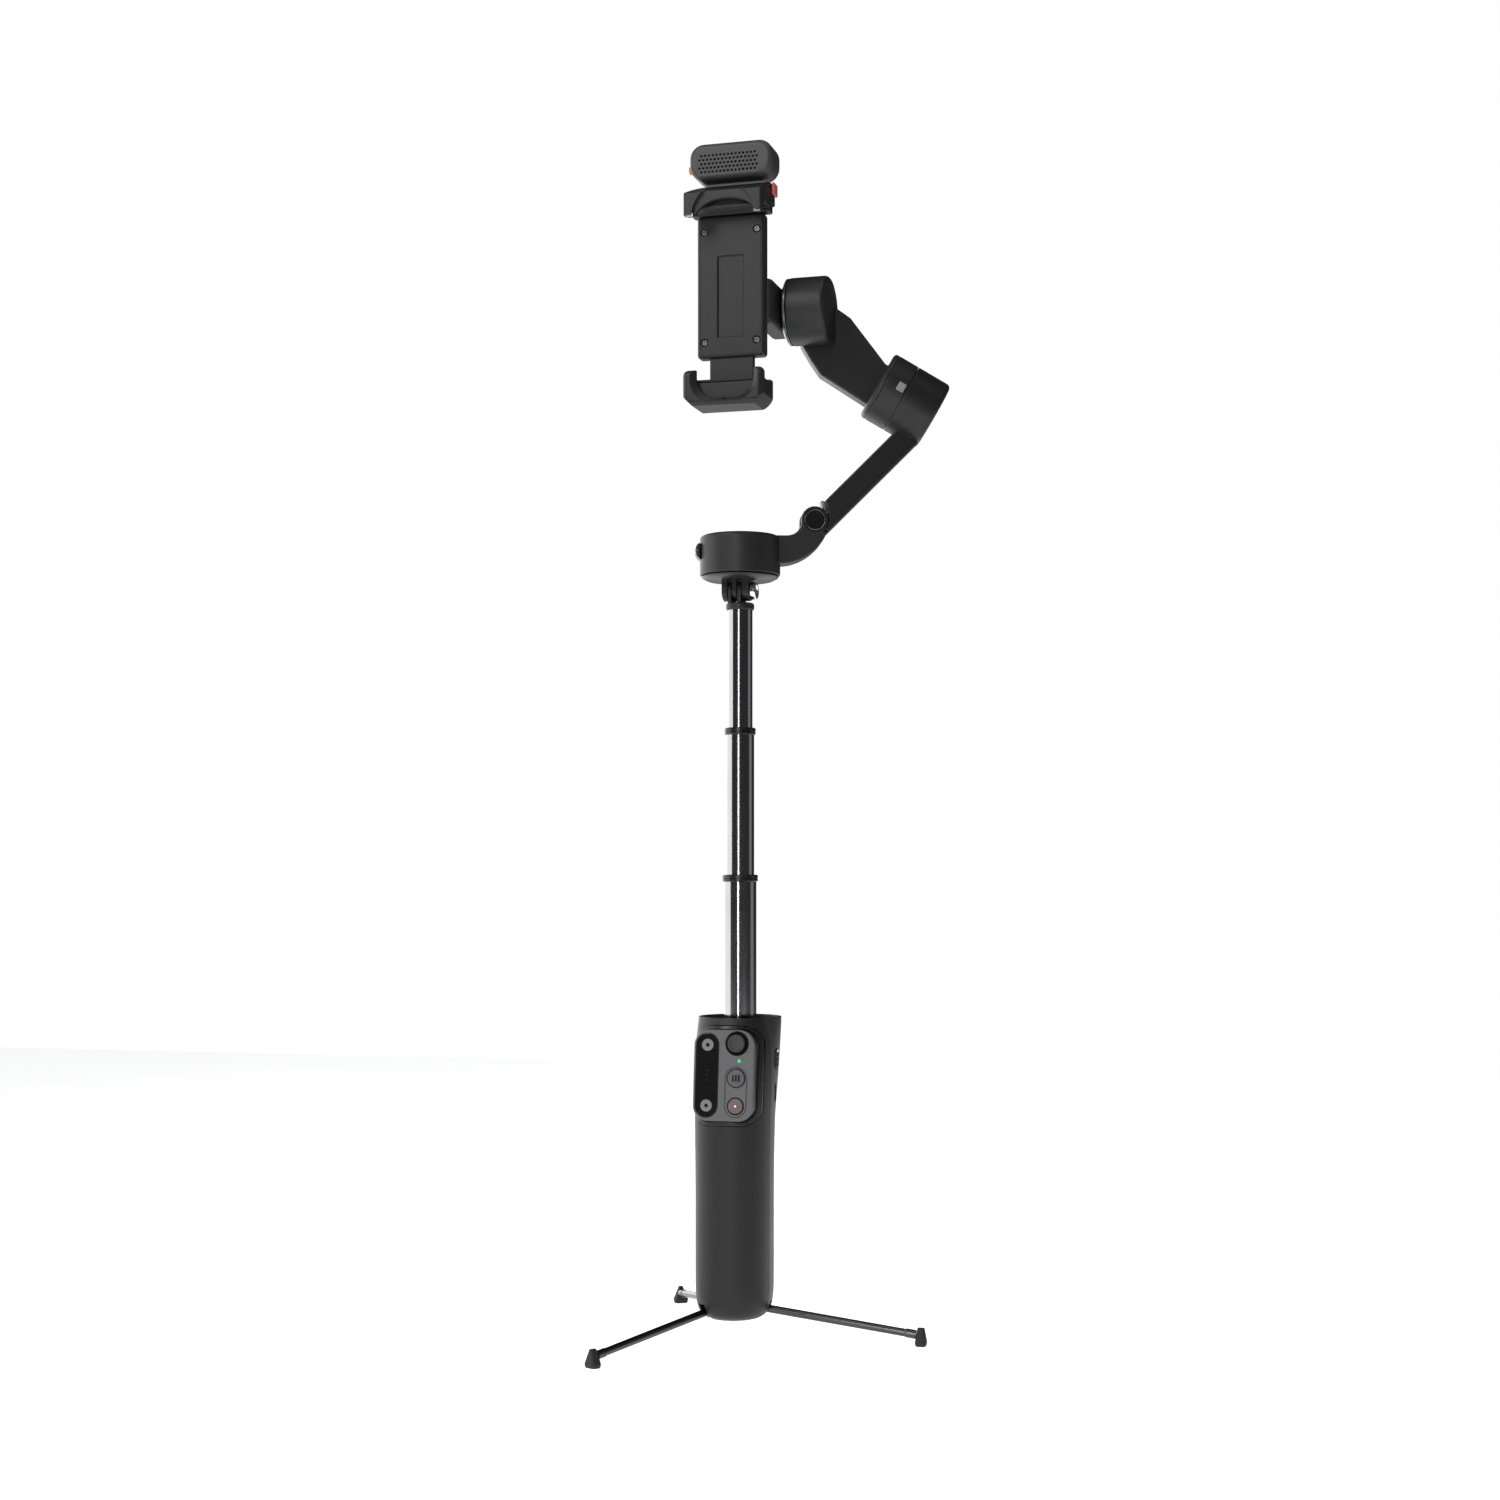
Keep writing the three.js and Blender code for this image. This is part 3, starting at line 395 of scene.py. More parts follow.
def lofted(sections, sides=144):
    """A closed skin drawn up through superellipse sections (z, y, half x, half y, power)."""
    bm = bmesh.new()
    turn = bm.verts.layers.float.new("turn")
    ring = bmesh.ops.create_circle(bm, cap_ends=False, radius=1, segments=sides)["verts"]
    for v in ring:
        v[turn] = math.atan2(v.co.y, v.co.x)

    def settle(verts, section):
        z, y, half_x, half_y, power = section
        for v in verts:
            c, s = math.cos(v[turn]), math.sin(v[turn])
            v.co = (half_x * math.copysign(abs(c) ** (2 / power), c),
                    y + half_y * math.copysign(abs(s) ** (2 / power), s), z)

    settle(ring, sections[0])
    edges = list(bm.edges)
    for section in sections[1:]:
        grown = bmesh.ops.extrude_edge_only(bm, edges=edges)["geom"]
        edges = [g for g in grown if isinstance(g, bmesh.types.BMEdge)]
        settle([g for g in grown if isinstance(g, bmesh.types.BMVert)], section)
    bmesh.ops.holes_fill(bm, edges=[e for e in bm.edges if e.is_boundary], sides=0)
    return shape(bm)


def eased(sections):
    """Sections filled in smoothly between the given ones."""
    filled = []
    for i in range(len(sections) - 1):
        before = sections[max(i - 1, 0)]
        here, there = sections[i], sections[i + 1]
        after = sections[min(i + 2, len(sections) - 1)]
        count = max(1, math.ceil((there[0] - here[0]) / SECTION_STEP))
        span = there[0] - here[0]
        for k in range(count):
            t = k / count
            row = [here[0] + span * t]
            for p in range(1, 5):
                slope_here = (there[p] - before[p]) / max(there[0] - before[0], 1e-6) * span
                slope_there = (after[p] - here[p]) / max(after[0] - here[0], 1e-6) * span
                row.append((2 * t ** 3 - 3 * t ** 2 + 1) * here[p] + (t ** 3 - 2 * t ** 2 + t) * slope_here
                           + (3 * t ** 2 - 2 * t ** 3) * there[p] + (t ** 3 - t ** 2) * slope_there)
            filled.append(tuple(row))
    filled.append(sections[-1])
    return filled


def moved(obj, matrix):
    obj.data.transform(matrix)
    return obj


def copied(obj):
    twin = bpy.data.objects.new("shape", obj.data.copy())
    bpy.context.scene.collection.objects.link(twin)
    return twin


def settled(obj):
    """Applies the object's modifiers to its mesh."""
    graph = bpy.context.evaluated_depsgraph_get()
    mesh = bpy.data.meshes.new_from_object(obj.evaluated_get(graph), depsgraph=graph)
    obj.modifiers.clear()
    old, obj.data = obj.data, mesh
    bpy.data.meshes.remove(old)
    return obj


def combined(obj, operation, tools):
    """One boolean step for each tool, welded after each; the tools are used up."""
    for tool in tools:
        step = obj.modifiers.new("step", "BOOLEAN")
        step.operation, step.solver, step.object = operation, "MANIFOLD", tool
        settled(obj)
        bm = bmesh.new()
        bm.from_mesh(obj.data)
        bmesh.ops.remove_doubles(bm, verts=bm.verts, dist=WELD)
        bm.to_mesh(obj.data)
        bm.free()
    for tool in tools:
        bpy.data.meshes.remove(tool.data)
    return obj


def cut(obj, *tools):
    return combined(obj, "DIFFERENCE", tools)


def joined(obj, *tools):
    return combined(obj, "UNION", tools)


def common(obj, *tools):
    return combined(obj, "INTERSECT", tools)


def finished(name, obj, body, material, nodes=(), slot=None, soft=0.0, segments=3, matrix=None, sharp=38):
    """Rounds the edges, shades it, scales it to metres and hangs it on its body."""
    if soft:
        edge = obj.modifiers.new("edges", "BEVEL")
        edge.width, edge.segments, edge.limit_method = soft, segments, "ANGLE"
        edge.angle_limit, edge.use_clamp_overlap = math.radians(sharp - 6), False
        settled(obj)
    mesh = obj.data
    mesh.shade_smooth()
    mesh.set_sharp_from_angle(angle=math.radians(sharp))
    weigh = obj.modifiers.new("shade", "WEIGHTED_NORMAL")
    weigh.keep_sharp = True
    settled(obj)
    obj.data.transform(Matrix.Scale(MM, 4) @ (matrix or Matrix()))
    obj.name = obj.data.name = name
    obj.data.materials.clear()
    obj.data.materials.append(material)
    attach(obj, body)
    if nodes:
        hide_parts(*nodes)
    return obj


def stands_for(node, obj, material, soft=0.0, **more):
    """A finished piece that takes one CAD node's place and body."""
    body = NODE_BODY[node]
    return finished(f"{node}_detail", obj, body, material, (node,), NODE_SLOT[node], soft, **more)


NODE_BODY = {n: body for body, names in frame["record"]["behaviour"]["bodies"].items() for n in names}
NODE_SLOT = {row["node"]: row["material_slot"] for row in frame["record"]["subparts"]}

# ---------------------------------------------------------------- handle

HANDLE = [
    (0, HANDLE_SHIFT, 12.2, 14, 2.1),
    (1.2, HANDLE_SHIFT, 14.1, 16.2, 2.15),
    (4, HANDLE_SHIFT, 15.8, 18.4, 2.2),
    (8, HANDLE_SHIFT, 16.6, 19.5, 2.3),
    (14, HANDLE_SHIFT, 16.9, 20, 2.35),
    (60, HANDLE_SHIFT, 17, 20, 2.35),
    (88, -8.2, 17.4, 20.4, 2.35),
    (100, -7, 17.9, 21.2, 2.3),
    (112, -5, 18.3, 21.6, 2.25),
    (122, -3, 18.6, 21, 2.15),
    (129, -1.2, 18.75, 19.8, 2.05),
    (HANDLE_TOP, 0, 18.75, 18.75, 2),
]


def offset(sections, by):
    return [(z, y, half_x + by, half_y + by, power) for z, y, half_x, half_y, power in sections]


def dock_outline(margin):
    return rounded_outline(REMOTE_WIDTH + 2 * margin, REMOTE_HEIGHT + 2 * margin, REMOTE_CORNER + margin)


def side_slot(width, height, low, high, y, z, **more):
    """A stadium drawn out along X."""
    outline = rounded_outline(width, height, width / 2 - 0.02, 12)
    return prism(outline, low, high, at(0, y, z) @ Matrix.Rotation(-math.pi / 2, 4, "Z"), **more)


def leg_slots(inner, outer):
    return [block((inner, outer), (-2.2, 2.2), (-5, 7),
                  matrix=at(HUB_X, HUB_Y, 0) @ Matrix.Rotation(angle, 4, "Z")) for angle in LEG_ANGLES]


def make_handle():
    cavity = offset([(3, *HANDLE[2][1:]), *HANDLE[3:-1], (HANDLE_TOP + 1, *HANDLE[-1][1:])], -HANDLE_WALL)
    shell = cut(
        lofted(eased(HANDLE)),
        lofted(eased(cavity)),
        prism(dock_outline(DOCK_MARGIN + 0.12), -8, 14, REMOTE),
        rod(HUB_RADIUS + GAP, -1, 5, at(HUB_X, HUB_Y, 0)),
        *leg_slots(HUB_RADIUS - 2, 30),
        side_slot(KEY_WIDTH + 0.4, KEY_HEIGHT + 0.4, 10, 25, KEY_Y, KEY_Z),
        side_slot(PORT_WIDTH + 0.2, PORT_HEIGHT + 0.2, 10, 25, PORT_Y, PORT_Z),
    )
    rear = common(copied(shell), block((-40, 40), (SEAM_Y + 0.08, 60), (-5, 140)))
    front = common(shell, block((-40, 40), (-60, SEAM_Y - 0.08), (-5, 140)))
    stands_for("handle_front_shell", front, soft_black, 0.22)
    stands_for("handle_rear_shell", rear, rear_black, 0.22)


def make_cup():
    floor = joined(
        lofted([(z, 0, 15.6, 14.9, 2) for z in (CUP_FLOOR - 1.6, CUP_FLOOR)], 96),
        rod(10.2, CUP_FLOOR - 1, CUP_FLOOR + 2.2),
    )
    cut(floor, rod(8.9, CUP_FLOOR - 5, CUP_FLOOR + GAP), rod(7.55, 100, 130),
        *[rod(0.7, CUP_FLOOR - 0.5, CUP_FLOOR + 2,
              Matrix.Rotation(math.radians(45 + 90 * k), 4, "Z") @ at(12.6, 0, 0), 24) for k in range(4)])
    stands_for("cup_floor", floor, charcoal, 0.25)


def make_dock():
    tray = cut(
        prism(dock_outline(DOCK_MARGIN), -2, REMOTE_DEPTH + 1.8),
        prism(dock_outline(0.25), -4, REMOTE_DEPTH + 0.2),
    )
    common(moved(tray, REMOTE), lofted(offset(eased(HANDLE), 0.4)))
    stands_for("dock_frame", tray, dock_dark, 0.35)


def make_side_controls():
    key = side_slot(KEY_WIDTH, KEY_HEIGHT, 16.9, 19, KEY_Y, KEY_Z, back_soft=0.5)
    for step in (-2.3, 0, 2.3):
        key = joined(key, rod(0.95, 18.2, 19.4, at(0, KEY_Y, KEY_Z + step - 0.6) @ ALONG_X, 32, 0.35))
    stands_for("power_key", key, charcoal, 0.12)
    # A small white dot that glows: a painted glint on the key, not a lamp.
    spark = rod(0.55, 18.8, 19.3, at(0, KEY_Y, KEY_Z + 3.5) @ ALONG_X, 24, 0.2)
    finished("key_painted_glint", spark, "power_key", painted_glint_white)
    port = cut(
        side_slot(PORT_WIDTH, PORT_HEIGHT, 12, 17.9, PORT_Y, PORT_Z),
        side_slot(PORT_WIDTH - 0.7, PORT_HEIGHT - 0.7, 13, 19, PORT_Y, PORT_Z),
    )
    port = joined(port, block((12.5, 17), (PORT_Y - 0.35, PORT_Y + 0.35), (PORT_Z - 3, PORT_Z + 3)))
    stands_for("usb_port", port, dark_metal, 0.1)


# ---------------------------------------------------------------- tripod

LEG_DROOP = math.atan2(LEG_HINGE_Z - FOOT_END_Z, FOOT_REACH - LEG_HINGE)
LEG_REACH = (FOOT_REACH - FOOT_DEPTH / 2 - LEG_HINGE) / math.cos(LEG_DROOP)


def make_tripod():
    bores = [rod(1.3, -4.5, 4.5, at(HUB_X, HUB_Y, 0) @ Matrix.Rotation(angle, 4, "Z")
                 @ at(LEG_HINGE, 0, LEG_HINGE_Z) @ ALONG_Y, 32) for angle in LEG_ANGLES]
    hub = rod(HUB_RADIUS, 0, HUB_TOP, at(HUB_X, HUB_Y, 0), 96)
    cut(hub, *leg_slots(3.8, 20), *bores)
    stands_for("tripod_hub", hub, charcoal, 0.3)
    for k, angle in enumerate(LEG_ANGLES):
        azimuth = at(HUB_X, HUB_Y, 0) @ Matrix.Rotation(angle, 4, "Z")
        along = azimuth @ at(LEG_HINGE, 0, LEG_HINGE_Z) @ Matrix.Rotation(LEG_DROOP, 4, "Y")
        bar = spun([(0, 0.5), (LEG_RADIUS, 0.5), (LEG_RADIUS, 5), (LEG_RADIUS - 0.15, 5.3),
                    (LEG_RADIUS - 0.15, 5.7), (LEG_RADIUS, 6), (LEG_RADIUS, LEG_REACH - 4.4),
                    (LEG_RADIUS + 0.25, LEG_REACH - 4.1), (LEG_RADIUS + 0.25, LEG_REACH + 0.4),
                    (0, LEG_REACH + 0.4)], ALONG_X, 48)
        joined(bar, rod(2.2, -1.8, 1.8, ALONG_Y, 48))
        cut(bar, rod(1.25, -4, 4, ALONG_Y, 32))
        stands_for(f"leg_{k + 1}", bar, leg_black, 0.1, matrix=along)
        make_foot(k, azimuth)


def make_foot(k, azimuth):
    """A faceted wedge that narrows both ways to its crown, on a flat sole."""
    bm = bmesh.new()
    bmesh.ops.create_cube(bm, size=1)
    bmesh.ops.scale(bm, verts=bm.verts, vec=(FOOT_DEPTH, FOOT_WIDTH, FOOT_HEIGHT))
    bmesh.ops.translate(bm, verts=bm.verts, vec=(0, 0, FOOT_HEIGHT / 2))
    upright = [e for e in bm.edges if abs(e.verts[0].co.z - e.verts[1].co.z) > 1]
    bmesh.ops.bevel(bm, geom=upright, offset=1.5, offset_type="OFFSET", segments=2, profile=0.5,
                    affect="EDGES", material=-1)
    bmesh.ops.bisect_plane(bm, geom=list(bm.verts) + list(bm.edges) + list(bm.faces),
                           plane_co=(0, 0, 1.6), plane_no=Z_AXIS)
    crown = [v for v in bm.verts if v.co.z > FOOT_HEIGHT - 0.1]
    bmesh.ops.scale(bm, verts=crown, vec=(0.6, FOOT_CROWN / FOOT_WIDTH, 1))
    sole = [v for v in bm.verts if v.co.z < 0.1]
    bmesh.ops.scale(bm, verts=sole, vec=(0.86, 0.88, 1))
    foot = shape(bm)
    foot_matrix = azimuth @ at(FOOT_REACH, 0, FLOOR_Z)
    stands_for(f"foot_{k + 1}", foot, rubber_black, 0.3, matrix=foot_matrix, sharp=30)


# ---------------------------------------------------------------- remote


def annulus(outer, inner, low, high, matrix, sides=64):
    return spun([(inner, low), (outer, low), (outer, high), (inner, high), (inner, low)], matrix, sides)


def make_remote():
    outline = rounded_outline(REMOTE_WIDTH, REMOTE_HEIGHT, REMOTE_CORNER)
    face = cut(
        prism(outline, 0, 1.6, front_soft=0.6, segments=5),
        prism(rounded_outline(STRIP_WIDTH + 0.3, STRIP_HEIGHT + 0.3, STRIP_WIDTH / 2 + 0.1, 14), -1, 3,
              at(STRIP_X, 0, 0)),
        rod(5.4, -1, 3, at(BUTTON_X, 0, STICK_Z) @ ALONG_Y),
        rod(4.3, -1, 3, at(BUTTON_X, 0, MODE_Z) @ ALONG_Y),
        rod(3.9, -1, 3, at(BUTTON_X, 0, RECORD_Z) @ ALONG_Y),
        rod(1.0, -1, 3, at(LAMP_X, 0, LAMP_Z) @ ALONG_Y, 32),
    )
    middle = (MODE_Z + RECORD_Z) / 2
    groove = cut(
        prism(rounded_outline(10.3, 22.6, 5.1, 14), -0.5, 0.5, at(BUTTON_X, 0, middle)),
        prism(rounded_outline(9.3, 21.6, 4.6, 14), -1, 1, at(BUTTON_X, 0, middle)),
    )
    cut(face, groove)
    stands_for("remote_shell", face, face_grey, 0.14, matrix=REMOTE)
    wall = cut(
        prism(outline, 1.7, 5.6),
        prism(rounded_outline(REMOTE_WIDTH - 2.6, REMOTE_HEIGHT - 2.6, REMOTE_CORNER - 1.3), 1, 7),
    )
    finished("remote_wall", wall, "remote", dock_dark, matrix=REMOTE, slot="dark_plastic", soft=0.12)
    back = prism(outline, 5.7, REMOTE_DEPTH, back_soft=0.5)
    stands_for("remote_back", back, charcoal, 0.1, matrix=REMOTE)
    band = prism(rounded_outline(REMOTE_WIDTH - 0.9, REMOTE_HEIGHT - 0.9, REMOTE_CORNER - 0.45), 5.3, 6)
    finished("remote_seam_band", band, "remote", gloss_black, matrix=REMOTE, slot="black_gloss")


def make_touch_strip():
    strip = prism(rounded_outline(STRIP_WIDTH, STRIP_HEIGHT, STRIP_WIDTH / 2 - 0.02, 16), 0.12, 1.7,
                  at(STRIP_X, 0, 0), front_soft=0.25)
    stands_for("touch_strip", strip, gloss_black, matrix=REMOTE)
    for k, z in enumerate((13.4, -13.4)):
        icon = annulus(2.65, 0.85, 0.07, 0.4, at(STRIP_X, 0, z) @ ALONG_Y)
        finished(f"strip_icon_{k + 1}", icon, "remote", icon_grey, matrix=REMOTE, slot="grey_plastic")
    for k in range(3):
        dash = prism(rounded_outline(1.1, 0.32, 0.15, 6), 0.1, 0.3, at(STRIP_X, 0, (k - 1) * 2.2))
        finished(f"strip_dash_{k + 1}", dash, "remote", charcoal, matrix=REMOTE, slot="dark_plastic")


def make_buttons():
    lamp = spun([(0, 1.7), (0.9, 1.7), (0.9, 0.1), (0.75, -0.05), (0.4, -0.14), (0, -0.16)],
                at(LAMP_X, 0, LAMP_Z) @ ALONG_Y, 32)
    stands_for("status_lamp", lamp, lamp_green, matrix=REMOTE)
    for node, radius, z, material in (("mode_button", 3.9, MODE_Z, button_grey),
                                      ("record_button", 3.4, RECORD_Z, record_pink)):
        cap = spun([(0, 3.6), (radius - 1.2, 3.6), (radius - 1.2, 2.2), (radius, 2.2), (radius, -0.05),
                    (radius - 0.15, -0.35), (radius - 0.5, -0.5), (radius - 0.95, -0.48),
                    (radius * 0.5, -0.3), (0, -0.24)], at(BUTTON_X, 0, z) @ ALONG_Y, 72)
        stands_for(node, cap, material, matrix=REMOTE)
    for k in range(3):
        bar = block((-1.7 + 1.35 * k, -1 + 1.35 * k), (-0.44, -0.2), (-1.5, 1.5), 0.08, 2,
                    at(BUTTON_X, 0, MODE_Z))
        finished(f"mode_mark_{k + 1}", bar, "mode_button", gloss_black, matrix=REMOTE, slot="black_gloss")
    # A white dot that glows on the button: a painted glint, not a lamp.
    glint = rod(0.42, -0.42, -0.1, at(BUTTON_X, 0, RECORD_Z) @ ALONG_Y, 24, 0.12)
    finished("record_glint", glint, "record_button", painted_glint_white, matrix=REMOTE, slot="record")
    stick = spun([(0, 3.9), (1.9, 3.9), (1.9, 1.8), (1.6, 1.2), (1.6, 0), (3.2, 0), (3.7, -0.2), (3.95, -0.7),
                  (3.95, -1.35), (3.8, -1.72), (3.45, -1.9), (3.1, -1.82), (2.85, -1.6), (1.6, -1.45),
                  (0, -1.4)], at(BUTTON_X, 0, STICK_Z) @ ALONG_Y, 80)
    stands_for("joystick_cap", stick, stick_rubber, matrix=REMOTE)
    well = annulus(5.35, 3.2, 1.35, 1.7, at(BUTTON_X, 0, STICK_Z) @ ALONG_Y)
    finished("stick_well", well, "remote", gloss_black, matrix=REMOTE, slot="black_gloss")
    circuit = cut(block((-10, 10), (4.4, 5.5), (-16.5, 16.5)),
                  rod(5.2, 3, 7, at(BUTTON_X, 0, STICK_Z) @ ALONG_Y))
    stands_for("remote_board", circuit, board_green, matrix=REMOTE)


# ---------------------------------------------------------------- extension rod


def make_rods():
    for node, (outer, inner, low, high) in (("lower_tube", LOWER_ROD), ("middle_tube", MIDDLE_ROD),
                                            ("upper_tube", UPPER_ROD)):
        tube = spun([(inner, low), (outer - 0.25, low), (outer, low + 0.25), (outer, high - 0.1),
                     (outer - 0.1, high), (inner, high), (inner, low)], sides=128)
        stands_for(node, tube, rod_black)
    for node, low_rod, radius in (("lower_collar", LOWER_ROD, 8.1), ("middle_collar", MIDDLE_ROD, 7.1)):
        _, inner, _, top = low_rod
        collar = spun([(inner, top), (radius - 0.3, top), (radius, top + 0.3), (radius, top + 1.1),
                       (radius - 0.18, top + 1.25), (radius - 0.18, top + 1.45), (radius, top + 1.6),
                       (radius, top + COLLAR_HEIGHT - 0.1), (radius - 0.4, top + COLLAR_HEIGHT + GAP),
                       (inner, top + COLLAR_HEIGHT + GAP), (inner, top)], sides=96)
        stands_for(node, collar, collar_black)


def prong(span, base):
    low, high = sorted((base, FORK_Z))
    return joined(
        rod(FORK_RADIUS, *span, at(0, 0, FORK_Z) @ ALONG_X, 72, 0.35),
        block(span, (-PRONG_HALF, PRONG_HALF), (low, high), 0.3, 3),
    )


def make_fork_and_head():
    base = UPPER_ROD[3]
    collar = spun([(0, base), (6, base), (6.4, base + 0.4), (6.4, base + 2.5), (5.8, base + 3.2),
                   (0, base + 3.2)])
    fork = joined(collar, *[prong(span, base + 1) for span in ROD_PRONGS])
    cut(fork, rod(PIN_RADIUS + 0.1, -12, 12, at(0, 0, FORK_Z) @ ALONG_X, 48))
    stands_for("rod_fork", fork, charcoal, 0.15)
    plate = spun([(0, PLATE_BOTTOM), (PLATE_RADIUS - 2.4, PLATE_BOTTOM),
                  (PLATE_RADIUS - 0.3, PLATE_TOP - 0.7), (PLATE_RADIUS, PLATE_TOP - 0.4),
                  (PLATE_RADIUS, PLATE_TOP), (0, PLATE_TOP)], sides=128)
    head = joined(plate, *[prong(span, PLATE_BOTTOM + 0.5) for span in HEAD_LOBES])
    cut(head, rod(PIN_RADIUS + 0.1, -12, 12, at(0, 0, FORK_Z) @ ALONG_X, 48),
        rod(3.4, -9, HEAD_LOBES[0][0] + 1.8, at(0, 0, FORK_Z) @ ALONG_X, 6))
    stands_for("head_base", head, arm_black, 0.15)
    pin = spun([(0, -7.2), (1.6, -7.2), (2, -6.8), (2, 5.4), (3.7, 5.4), (4, 5.7), (4, 7.4), (3.6, 7.9),
                (2.7, 7.9), (2.3, 7.3), (0, 7.3)], at(0, 0, FORK_Z) @ ALONG_X, 72)
    cut(pin, block((6.5, 9), (-0.5, 0.5), (-2.2, 2.2), matrix=at(0, 0, FORK_Z)))
    stands_for("fork_pin", pin, bright_metal, 0.1)
    nut = cut(rod(3, -7.5, -6.1, ALONG_X, 6), rod(2.05, -9, -5, ALONG_X, 32))
    stands_for("fork_nut", nut, bright_metal, 0.2, matrix=at(0, 0, FORK_Z))


# ---------------------------------------------------------------- pan housing and lower arm


def at_fold(radius, low, high, soft=0.0):
    return rod(radius, low, high, at(FOLD_S, 0, FOLD_Z) @ ALONG_Y, 72, soft)


def make_pan():
    drum = spun([(0, PAN_BOTTOM), (PAN_RADIUS - 0.5, PAN_BOTTOM), (PAN_RADIUS - 0.1, PAN_BOTTOM + 0.15),
                 (PAN_RADIUS, PAN_BOTTOM + 0.5), (PAN_RADIUS, PAN_TOP - 1.7),
                 (PAN_RADIUS - 0.15, PAN_TOP - 1.1), (PAN_RADIUS - 0.6, PAN_TOP - 0.5),
                 (PAN_RADIUS - 1.4, PAN_TOP - 0.12), (PAN_RADIUS - 2.4, PAN_TOP), (0, PAN_TOP)], sides=144)
    outline = [(6, 338.6), (18, 338.6)]
    outline += curve((18, 338.6), (27, 338.6), (36, 345), (38.9, 352.7), 16)
    outline += [(FOLD_S, FOLD_Z), (27.6, 357)]
    outline += curve((27.6, 357), (26.6, 354), (25, PAN_TOP - 0.1), (20.5, PAN_TOP - 0.1), 10)
    outline += [(6, PAN_TOP - 0.1)]
    arm = prism(outline, -ARM_HALF, ARM_HALF, front_soft=0.9, back_soft=0.9)
    housing = cut(
        joined(drum, arm, at_fold(FOLD_CHEEK, -ARM_HALF, ARM_HALF, soft=0.5)),
        rod(PAN_CAVITY, PAN_BOTTOM - 1, PAN_TOP - 2),
        at_fold(FOLD_CHEEK + 0.3, -FOLD_HALF - 0.15, FOLD_HALF + 0.15),
        at_fold(2.1, -10, 10),
        at_fold(5.1, -ARM_HALF - 1, -ARM_HALF + 0.9),
    )
    groove = annulus(12.4, 12, PAN_TOP - 0.25, PAN_TOP + 1, Matrix(), 96)
    cut(housing, groove)
    stands_for("pan_housing", housing, charcoal, 0.15, matrix=ARM)
    catch = prism([(0, -4), (-1.5, -2.6), (-2, -1), (-2, 1.4), (-1.3, 2.9), (0, 3.5)], -4, 4,
                  at(-PAN_RADIUS - 0.1, 0, 344.5))
    cut(catch, block((-4, -1.4), (-5, 5), (-0.25, 0.35), matrix=at(-PAN_RADIUS, 0, 344.5)))
    stands_for("fold_catch", catch, charcoal, 0.3, matrix=ARM)


def make_fold_cap():
    """A cap faced on a lathe: its fine rings give the fan of highlights."""
    profile = [(0, 0), (4.9, 0), (4.9, 1.05), (4.75, 1.35), (4.5, 1.5)]
    rings = 34
    for k in range(rings):
        radius = 4.4 * (1 - k / rings)
        profile.append((radius, 1.36 if k % 2 else 1.395))
    profile.append((0, 1.37))
    cap = spun(profile, at(FOLD_S, -ARM_HALF + 0.9, FOLD_Z) @ TOWARDS_USER, 128)
    stands_for("fold_cap", cap, cap_dark, matrix=ARM, sharp=60)


# ---------------------------------------------------------------- upper arm


def make_upper_arm():
    along_bar = at(FOLD_S, 0, FOLD_Z) @ Matrix.Rotation(-math.pi / 4, 4, "Y")
    side_view = [(0.4, BAR_LOW), (BAR_END, BAR_LOW), (BAR_END, BAR_HIGH), (9.3, BAR_HIGH), (6.6, -1.4),
                 (0.4, -1.4)]
    bar = prism(side_view, -ARM_HALF, ARM_HALF, along_bar, front_soft=0.8, back_soft=0.8)
    cut(bar, *[at_fold(FOLD_CHEEK + 0.25, low, high) for low, high in (
        (-ARM_HALF - 1, -FOLD_HALF), (FOLD_HALF, ARM_HALF + 1))])
    for side in (-1, 1):
        low, high = sorted((side * (ARM_HALF - 0.3), side * (ARM_HALF + 1)))
        for groove in ((BAR_HIGH - 1.75, BAR_HIGH - 1.45), (BAR_LOW + 1.6, BAR_LOW + 1.9)):
            cut(bar, block((10.5, BAR_END + 3), (low, high), groove, matrix=along_bar))
    drum = spun([(0, 0.12), (ROLL_RADIUS - 0.15, 0.12), (ROLL_RADIUS, 0.3), (ROLL_RADIUS, ROLL_OUTER - 2),
                 (ROLL_RADIUS - 0.2, ROLL_OUTER - 1.2), (ROLL_RADIUS - 0.75, ROLL_OUTER - 0.5),
                 (ROLL_RADIUS - 1.6, ROLL_OUTER - 0.1), (ROLL_RADIUS - 2.6, ROLL_OUTER), (11.4, ROLL_OUTER),
                 (11.2, ROLL_OUTER - 0.25), (10.9, ROLL_OUTER - 0.25), (10.7, ROLL_OUTER), (0, ROLL_OUTER)],
                ALONG_X, 144)
    joined(bar, at_fold(FOLD_TONGUE, -FOLD_HALF, FOLD_HALF), moved(drum, ROLL_IN_ARM))
    cut(bar, moved(rod(13.6, -5, ROLL_OUTER - 2.5, ALONG_X), ROLL_IN_ARM), at_fold(2.1, -10, 10))
    stands_for("upper_arm", bar, arm_black, 0.15, matrix=ARM)
    wedge = prism([(6.9, -1), (9.5, 3.3), (8.4, 4.4), (6.7, 1.4)], -3.4, 3.4, along_bar)
    finished("fold_stop", wedge, "arm", mark_grey, slot="grey_plastic", soft=0.3, matrix=ARM)


# ---------------------------------------------------------------- roll motor, bracket and tilt motor


